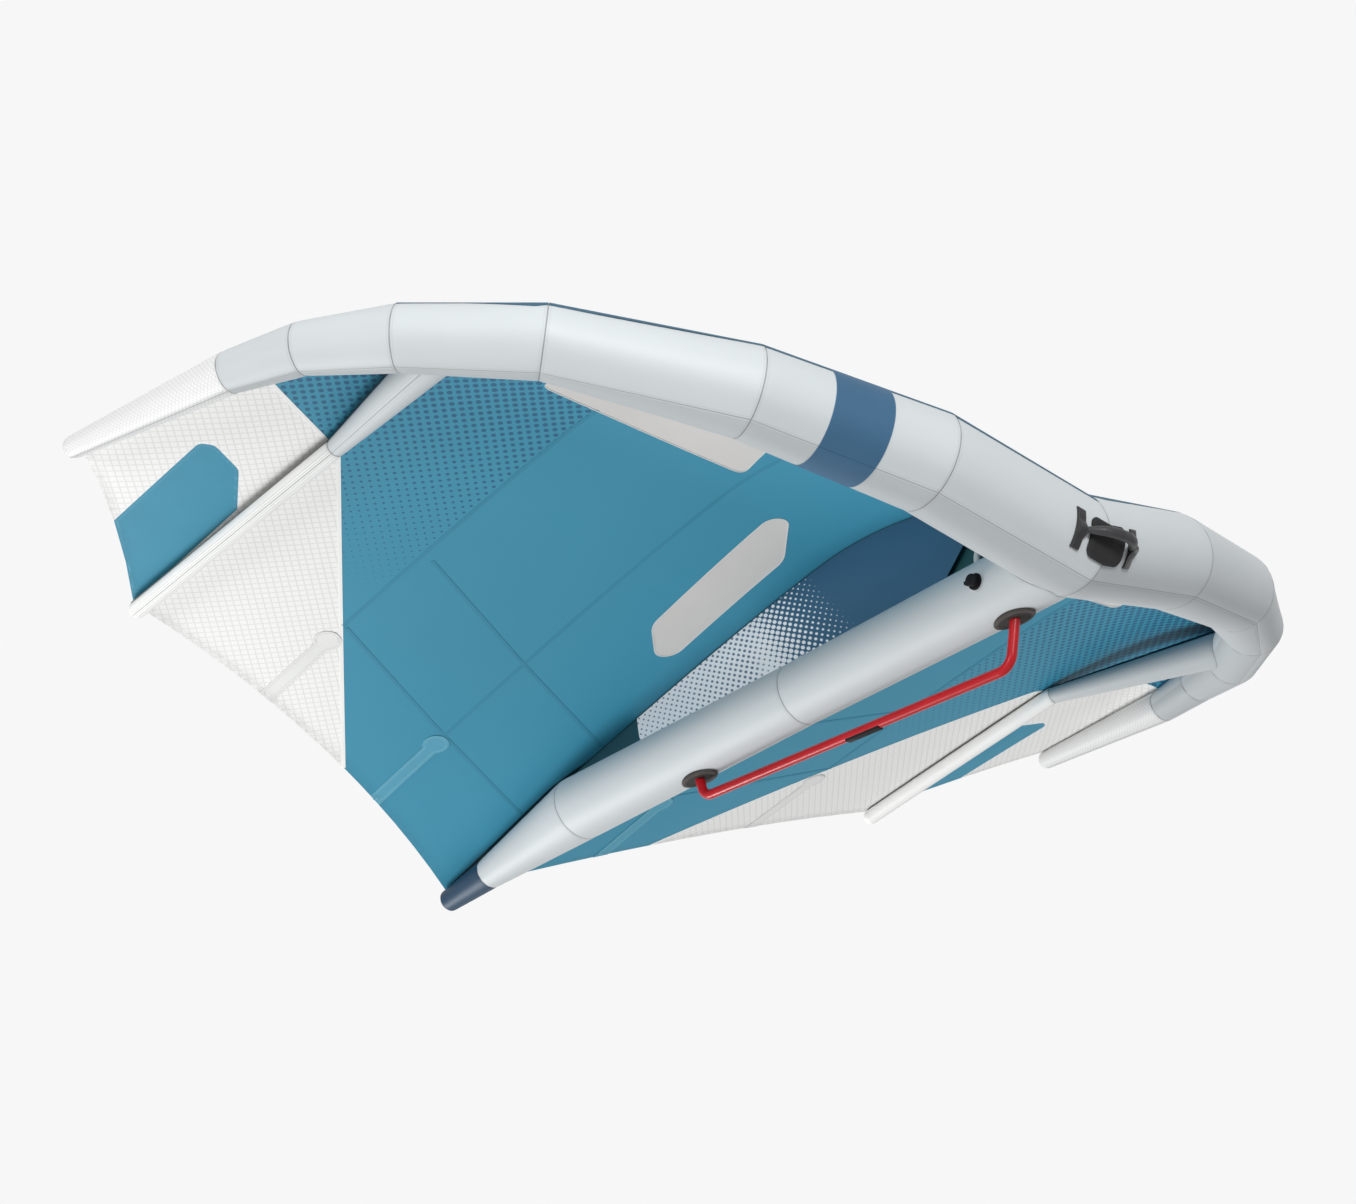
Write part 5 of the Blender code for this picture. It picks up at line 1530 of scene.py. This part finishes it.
def seat_frame(place):
    axis = strut_direction(0 if place < strut_places[1] else 1)
    return strut_centre(place), axis, np.cross(axis, sideways)


def seat_face(place):
    centre, _, drop = seat_frame(place)
    return centre + drop * (strut_skin_radius(place) + seat_thickness)


def boom_corners():
    front, rear = seat_face(boom_front_seat_place), seat_face(boom_rear_seat_place)
    front_corner = front - up * boom_front_leg_drop + rearward * boom_front_leg_back
    rear_corner = rear - up * boom_rear_leg_drop - rearward * boom_rear_leg_forward
    return front, front_corner, rear_corner, rear


def bend(before, corner, after, radius, steps=14):
    """Points round a bend of the tube, the ends of the arc included."""
    first, second = Vector(unit(before - corner)), Vector(unit(after - corner))
    half = first.angle(second) / 2
    centre = Vector(corner) + (first + second).normalized() * radius / math.sin(half)
    start = (Vector(corner) + first * radius / math.tan(half) - centre).normalized()
    end = (Vector(corner) + second * radius / math.tan(half) - centre).normalized()
    return [np.array(centre + start.slerp(end, i / steps) * radius) for i in range(steps + 1)]


def onto_seat(loop, direction, place, gap):
    normal = seat_frame(place)[2]
    level = normal @ seat_face(place) + gap
    return loop + direction * ((level - loop @ normal) / (normal @ direction))[:, None]


def dress_boom(red, grey, black):
    front, front_corner, rear_corner, rear = boom_corners()
    path = [front] + bend(front, front_corner, rear_corner, boom_front_bend)
    path += bend(front_corner, rear_corner, rear, boom_rear_bend) + [rear]
    loops = []
    for i, centre in enumerate(path):
        loops.append(circle(centre, sideways, np.cross(sideways, path_axis(path, i)), boom_radius, 32))
    for index, corner, place in ((0, front_corner, boom_front_seat_place), (-1, rear_corner, boom_rear_seat_place)):
        loops[index] = onto_seat(loops[index], unit(corner - path[index]), place, -0.0015)
    add_piece("boom_lacquered_tube", loops, red, "red_lacquer", "boom_tube")
    dress_seat("front", boom_front_seat_place, grey)
    dress_seat("rear", boom_rear_seat_place, grey)
    dress_grip_mark(front_corner, unit(rear_corner - front_corner), black)


def dress_seat(word, place, material):
    """An oval rubber dish that hugs the strut, with a raised paler rim."""
    centre, axis, drop = seat_frame(place)
    turns = circle_turns(48)

    def oval(scale, low):
        along, aside = -np.sin(turns) * scale * seat_length / 2, np.cos(turns) * scale * seat_width / 2
        radius = strut_skin_radius(place) + 2 * touch_gap
        spread = np.outer(along, axis) + np.outer(aside, sideways)
        skin = centre + spread + np.outer(np.sqrt(radius**2 - aside**2), drop)
        return skin + (seat_face(place) + spread - skin) * low

    rims = [1.0 if 0.78 < scale and low else 0.0 for scale, low in seat_profile]
    attributes = {"rim": np.repeat(rims, len(turns))}
    loops = [oval(scale, low) for scale, low in seat_profile]
    add_piece(f"boom_seat_pad_{word}", loops, material, "grey_plastic", f"boom_{word}_seat", 1, attributes)


def dress_grip_mark(start, axis, material):
    """The pad under the boom, bowed to the tube and flat below, with soft edges."""
    drop = np.cross(axis, sideways)
    near, half = boom_radius + touch_gap, grip_mark_flat / 2
    far = near + grip_mark_thickness
    turns = np.radians(np.linspace(-grip_mark_half_angle, grip_mark_half_angle, 15))
    section = [(near * math.sin(turn), near * math.cos(turn)) for turn in turns]
    wide = turns[-1] * near / far
    side = [(far * math.sin(wide), far * math.cos(wide)), (half + 0.001, far - 0.0004), (half, far)]
    section = np.array(section + side + [(-x, depth) for x, depth in side[::-1]])
    outer = np.arange(len(section)) >= len(turns)
    loops = []
    for reach, shrink in ((0.0, 0.7), (0.0015, 1.0), (grip_mark_length - 0.0015, 1.0), (grip_mark_length, 0.7)):
        x, depth = (section * np.where(outer, 1 - (1 - shrink) * 0.12, 1.0)[:, None]).T
        centre = start + axis * (grip_mark_start + reach)
        loops.append(centre + np.outer(x, sideways) + np.outer(depth, drop))
    add_piece("boom_grip_pad", loops, material, "black_rubber", "boom_grip_mark")


# Front handle

handle_middle_angle = (handle_low_angle + handle_high_angle) / 2


def nose_points(x, angles, offsets):
    """Points over the nose at this distance from the centre plane."""
    found = []
    for angle, offset in zip(angles, np.broadcast_to(offsets, np.shape(angles))):
        near, far = ring_points(0, [angle], offset)[0], ring_points(1, [angle], offset)[0]
        point = near + (far - near) * abs(x) / far[0]
        found.append((x, point[1], point[2]))
    return np.array(found)


def strap_height(angle):
    ear = handle_pivot_standoff + handle_end_radius - handle_strap_thickness
    away = np.abs(angle - handle_middle_angle) / handle_ear_angle
    return handle_strap_thickness + ear * np.maximum(0.0, 1 - away * away) ** 2


def dress_handle_straps(material):
    """Two straps over the nose, raised where they hold the grip's ends."""
    angles = np.linspace(handle_high_angle, handle_low_angle, 65)
    half, soft = handle_strap_width / 2, 0.0012
    low, high = np.full(len(angles), 2 * touch_gap), strap_height(angles)
    ends = np.minimum(angles - handle_high_angle, handle_low_angle - angles)
    high = low + (high - low) * np.clip(ends / 0.8, 0.55, 1.0)
    asides = (-half, half, half, half - soft, -half + soft, -half)
    lifts = (low, low, high - soft, high, high, high - soft)
    rows = [nose_points(handle_half_spacing + aside, angles, lift) for aside, lift in zip(asides, lifts)]
    run = np.radians(angles - angles[0]) * nose_radius
    attributes = {"along": np.repeat(run, len(asides)), "across": np.tile(asides, len(angles)) / half}
    for side, word in halves:
        name, node = f"handle_strap_{word}", f"front_handle_strap_{word}"
        add_piece(name, np.stack(rows, 1), material, "black_webbing", node, side, attributes)


def dress_handle_pad(material):
    """A foam pad on the nose behind the handle, crowned and with rounded corners."""
    wide, corner = handle_pad_half_width, handle_pad_corner
    corner_angle = math.degrees(corner / nose_radius)
    shares = np.linspace(0, 1, 21)
    ends = wide - corner + corner * np.sin(np.linspace(0, math.pi / 2, 9))
    loops = []
    for x in np.concatenate((-ends[::-1], np.linspace(corner - wide, wide - corner, 17)[1:-1], ends)):
        aside = min(max(0.0, (abs(x) - (wide - corner)) / corner), 1.0)
        cut = 1 - math.sqrt(1 - aside**2)
        first, last = handle_high_angle + corner_angle * cut, handle_low_angle - corner_angle * cut
        angles = first + (last - first) * shares
        side_drop = 1 - 0.5 * max(0.0, abs(x) / wide - 0.86) / 0.14
        end_drop = 1 - 0.5 * np.maximum(0.0, np.abs(2 * shares - 1) - 0.82) / 0.18
        groove = 0.0012 * np.exp(-(((np.abs(shares - 0.5) - 0.22) / 0.025) ** 2))
        lift = handle_pad_thickness * side_drop * end_drop - groove
        lower, upper = nose_points(x, angles, 3 * touch_gap), nose_points(x, angles[::-1], lift[::-1])
        loops.append(np.concatenate((lower, upper)))
    piece = add_piece("handle_foam_pad", loops, material, "black_foam", "front_handle_pad", sharp=60)


def dress_handle_grip(material):
    """The arched bar between the straps, thicker and ribbed in its middle."""
    pivot = nose_points(handle_half_spacing, [handle_middle_angle], handle_pivot_standoff)[0] * (0, 1, 1)
    half = handle_half_spacing - handle_strap_width / 2 - touch_gap
    lean = math.radians(handle_middle_angle - handle_grip_lift_angle)
    out = np.array((0.0, math.cos(lean), math.sin(lean)))
    shares = np.linspace(-1, 1, 61)
    path = [pivot + sideways * half * s + out * handle_grip_rise * (1 - abs(s) ** 2.4) for s in shares]
    loops, alongs, run = [], [], 0.0
    for i, (centre, share) in enumerate(zip(path, abs(shares))):
        axis = path_axis(path, i) if share < 1 else sideways
        radius = handle_end_radius + (handle_grip_radius - handle_end_radius) * (1 - share**4)
        if share < 0.42:
            radius -= 0.0007 * (i % 2)
        normal = unit(np.cross(axis, out))
        loops.append(circle(centre, normal, np.cross(axis, normal), radius, 28))
        run += np.linalg.norm(centre - path[i - 1]) if i else 0.0
        alongs.append(np.full(28, run))
    details = {"attributes": {"along": alongs}, "sharp": 50, "body": "front_grip"}
    add_piece("handle_grip", loops, material, "black_rubber", "front_handle_grip", **details)


# Inflation valve


def lugged_circle(radius, inset=0.0):
    """A circle with a square lug that reaches rearwards to the cap's hinge."""
    radius, half = radius - inset, valve_lug_half_width - inset
    start = math.asin(half / radius)
    turns = np.linspace(start, 2 * math.pi - start, 61)
    circle_points = [(radius * math.cos(turn), radius * math.sin(turn)) for turn in turns]
    reach = valve_lug_reach - inset
    return np.array(circle_points + [(reach, -half), (reach, half)])


def valve_disc(name, radius, low, high, material, body, node):
    """A flat piece of the valve, with small rounded edges."""
    centre, soft = strut_centre(valve_place), 0.0009
    loops = []
    for reach, inset in ((low, soft), (low + soft, 0.0), (high - soft, 0.0), (high - soft / 3, soft / 3), (high, soft)):
        outline = lugged_circle(radius, inset)
        loops.append(centre - sideways * reach + np.outer(outline[:, 0], rearward) + np.outer(outline[:, 1], up))
    add_piece(name, loops, material, "black_rubber", node, sharp=30, body=body)


def dress_valve(black, pale):
    centre = strut_centre(valve_place)
    flange = strut_skin_radius(valve_place) + valve_flange_thickness
    body = flange + touch_gap
    cap = body + valve_body_height + touch_gap

    def loop(scale, reach=None, lift=2 * touch_gap):
        spots = []
        for turn in circle_turns(48):
            aside, rise = math.cos(turn) * valve_flange_radius * scale, math.sin(turn) * valve_flange_radius * scale
            spot = strut_centre(valve_place + aside)
            radius = strut_skin_radius(spot[1]) + lift
            deep = reach or math.sqrt(radius**2 - (centre[2] + rise - spot[2]) ** 2)
            spots.append(centre + rearward * aside + up * rise - sideways * deep)
        return np.array(spots)

    profile = [loop(scale) for scale in (0.2, 0.6, 1.0)]
    profile += [loop(0.985, flange - 0.0008), loop(0.94, flange), loop(0.2, flange)]
    add_piece("valve_flange_ring", profile, black, "black_rubber", "valve_flange")
    profile = [loop(1.02), loop(1.02, lift=0.0014), loop(1.22, lift=0.0012), loop(1.24), loop(1.1)]
    add_piece("valve_patch_ring", profile, pale, "grey_sailcloth", ends="ring")
    valve_disc("valve_turning_body", valve_body_radius, body, cap - touch_gap, black, "valve", "valve_body")
    valve_disc("valve_hinged_cap", valve_cap_radius, cap, cap + valve_cap_height, black, "cap", "valve_cap")


# Air hose and clip


def hose_path(steps=36):
    turn = math.radians(hose_start_angle)
    out = np.array((0.0, math.cos(turn), math.sin(turn)))
    start = out * (nose_radius + 2 * touch_gap)
    end = strut_centre(hose_end_place)
    end[2] = strut_top(hose_end_place) + 2 * touch_gap
    leave, arrive = out * hose_rise, up * hose_rise
    path = []
    for t in np.linspace(0, 1, steps + 1):
        rest = 1 - t
        point = rest**3 * start + 3 * rest * rest * t * (start + leave)
        path.append(point + 3 * rest * t * t * (end + arrive) + t**3 * end)
    return path


def hose_section(centre, axis, radius, sides=28):
    return circle(centre, sideways, np.cross(sideways, unit(axis)), radius, sides)


def dress_hose(material):
    path = hose_path()
    first, last, edge = unit(path[1] - path[0]), unit(path[-1] - path[-2]), hose_flange_thickness
    radii = (hose_radius / 2, hose_flange_radius)
    start = path[0] - first * hose_radius
    small, foot = (onto_nose(hose_section(start, first, radius), first, 2 * touch_gap) for radius in radii)
    necks = ((1.6 * edge, hose_radius * 1.25), (2.2 * edge, hose_radius))
    loops = [small, foot, foot + first * edge]
    loops += [hose_section(path[0] + first * reach, first, radius) for reach, radius in necks]
    for i in range(3, len(path) - 3):
        loops.append(hose_section(path[i], path[i + 1] - path[i - 1], hose_radius - 0.0004 * (i % 2)))
    loops += [hose_section(path[-1] - last * reach, last, radius) for reach, radius in necks[::-1]]
    small, foot = (hose_section(path[-1], last, radius) for radius in radii)
    for loop in (foot, small):
        loop[:, 2] = [strut_top(point[1], point[0]) + 2 * touch_gap for point in loop]
    loops += [foot - last * edge, foot, small]
    add_piece("air_hose_tube", loops, material, "white_plastic", "air_hose")


def dress_clip(grey, pale):
    coarse = hose_path(12)
    middle = len(coarse) // 2 + 1
    before, centre, after = coarse[middle - 1:middle + 2]
    outer, inner = [], []
    for i in (middle - 1, middle, middle + 1):
        axis = coarse[i + 1] - coarse[i - 1]
        outer.append(hose_section(coarse[i], axis, clip_radius))
        inner.append(hose_section(coarse[i], axis, hose_radius + 2 * touch_gap))
    rims = unit(centre - before) * 0.001, unit(after - centre) * 0.001
    loops = [outer[0] + (before - outer[0]) * 0.08, outer[0] + rims[0], outer[1], outer[2] - rims[1]]
    loops += [outer[2] + (after - outer[2]) * 0.08] + inner[::-1]
    add_piece("hose_clip_ring", loops, grey, "grey_plastic", "hose_clip", ends="ring")
    axis = unit(after - before)
    top = -np.cross(axis, sideways)
    pivot = centre + axis * ((after - centre) @ axis) + top * (clip_radius + clip_lever_thickness / 2 + touch_gap)
    turns = circle_turns(24)
    across, rise = (np.sign(part) * abs(part) ** 0.4 for part in (np.cos(turns), np.sin(turns)))
    loops = []
    for share in np.linspace(0, 1, 9):
        wide = clip_lever_width / 2 * (1 - 0.25 * share**3)
        thick = clip_lever_thickness / 2 * (1 - 0.5 * max(0.0, abs(2 * share - 1) - 0.75) / 0.25)
        spot = pivot - axis * clip_lever_length * share
        loops.append(spot + np.outer(wide * across, sideways) + np.outer(thick * rise, top))
    add_piece("hose_clip_tab", loops, pale, "white_plastic", "hose_clip_lever", body="clip_lever")


def dress_bladders(material):
    """The bladders stay as they are, hidden in their casings, in their own film."""
    for node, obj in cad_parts.items():
        if "bladder" in node:
            obj.data.materials.clear()
            obj.data.materials.append(material)


def main():
    bpy.context.scene.view_settings.view_transform = "Standard"
    make_camera()
    make_world()
    make_floor()
    make_lights()
    grey_line = tube_cloth("grey_sailcloth", grey_cloth, seam_grey)
    # The leading edge's strip below the long seam is painted darker (0.82) as shade on its underside.
    grey_nose = tube_cloth("grey_nose_sailcloth", grey_cloth, seam_grey, strip=0.82)
    white_tube = tube_cloth("white_tip_ripstop", (0.73, 0.73, 0.725), seam_grey, 0.6)
    sleeve = tube_cloth("white_sleeve_cloth", (0.87, 0.87, 0.85), seam_grey, 0.0, True)
    navy_tube = tube_cloth("navy_sailcloth", (0.014, 0.045, 0.085), navy_dark)
    cloths = {
        "teal": panel_cloth("teal_canopy", teal_cloth),
        "halftone": halftone_cloth(),
        "white": white_ripstop(),
        "patch": edged_cloth("teal_patch", teal_cloth, (0.10, 0.34, 0.46)),
        "window": window_film(),
        "inner_pocket": edged_cloth("teal_pocket_cloth", teal_pocket, (0.20, 0.47, 0.56)),
        "outer_pocket": edged_cloth("white_pocket_cloth", white_pocket, (0.52, 0.52, 0.51)),
        "seam": tape_cloth("teal_seam_tape", (0.033, 0.220, 0.332), (0.026, 0.178, 0.276)),
        "white_seam": tape_cloth("white_seam_tape", (0.88, 0.88, 0.86), (0.66, 0.66, 0.65)),
        "web_line": tape_cloth("web_top_tape", web_line, (0.018, 0.10, 0.15)),
        "shadow": tape_cloth("painted_shadow_strut_tape", seam_shadow, (0.007, 0.045, 0.062)),
        # A grey strip painted as the shadow line along the rear part of the quarter struts.
        "grey_line": tape_cloth("painted_shadow_grey_strut_tape", (0.19, 0.185, 0.17), (0.25, 0.25, 0.24)),
        "rim": tape_cloth("window_rim_tape", (0.68, 0.68, 0.66), (0.52, 0.52, 0.50)),
        "web": web_print(),
        # The cloth behind the web is dark as painted shade, where the gap between canopy and strut lies in shadow.
        "web_strip_painted_shade": panel_cloth("web_strip_painted_shade_cloth", (0.014, 0.075, 0.10)),
    }
    band = band_cloth()
    black = rubber("black_rubber", (0.007, 0.007, 0.008))
    seat_grey = rubber("grey_seat_rubber", (0.030, 0.029, 0.028), rim=(0.062, 0.055, 0.050))
    pale = rubber("pale_plastic", (0.60, 0.60, 0.57), 1400.0, 0.4)
    pale_patch = rubber("pale_patch_cloth", (0.46, 0.49, 0.50), 1400.0, 0.55)
    dress_leading_edge(grey_nose, white_tube)
    dress_band(band)
    dress_top_tape(tape_cloth("dark_tie_tape", top_tape, (0.03, 0.085, 0.14)))
    dress_strut(grey_line, navy_tube)
    dress_canopy(cloths)
    dress_seams(cloths)
    dress_web_tape_and_strut_shadow(cloths)
    dress_web(cloths)
    # The gusset's dark green cloth is painted shade.
    dress_gusset(panel_cloth("painted_shade_gusset_cloth", gusset_shade_green))
    dress_quarter_struts(grey_line, sleeve)
    dress_quarter_shadow_tapes(cloths["shadow"], cloths["grey_line"])
    dress_boom(red_lacquer(), seat_grey, black)
    dress_handle_straps(webbing())
    dress_handle_pad(foam())
    # The grip's rubber is a lighter grey than the black rubber: painted highlight, standing in for the light that falls
    # on it.
    dress_handle_grip(rubber("grip_rubber_painted_highlight", (0.04, 0.04, 0.042), roughness=0.42))
    dress_valve(black, pale_patch)
    dress_hose(pale)
    dress_clip(seat_grey, pale)
    dress_bladders(bladder_film())


main()
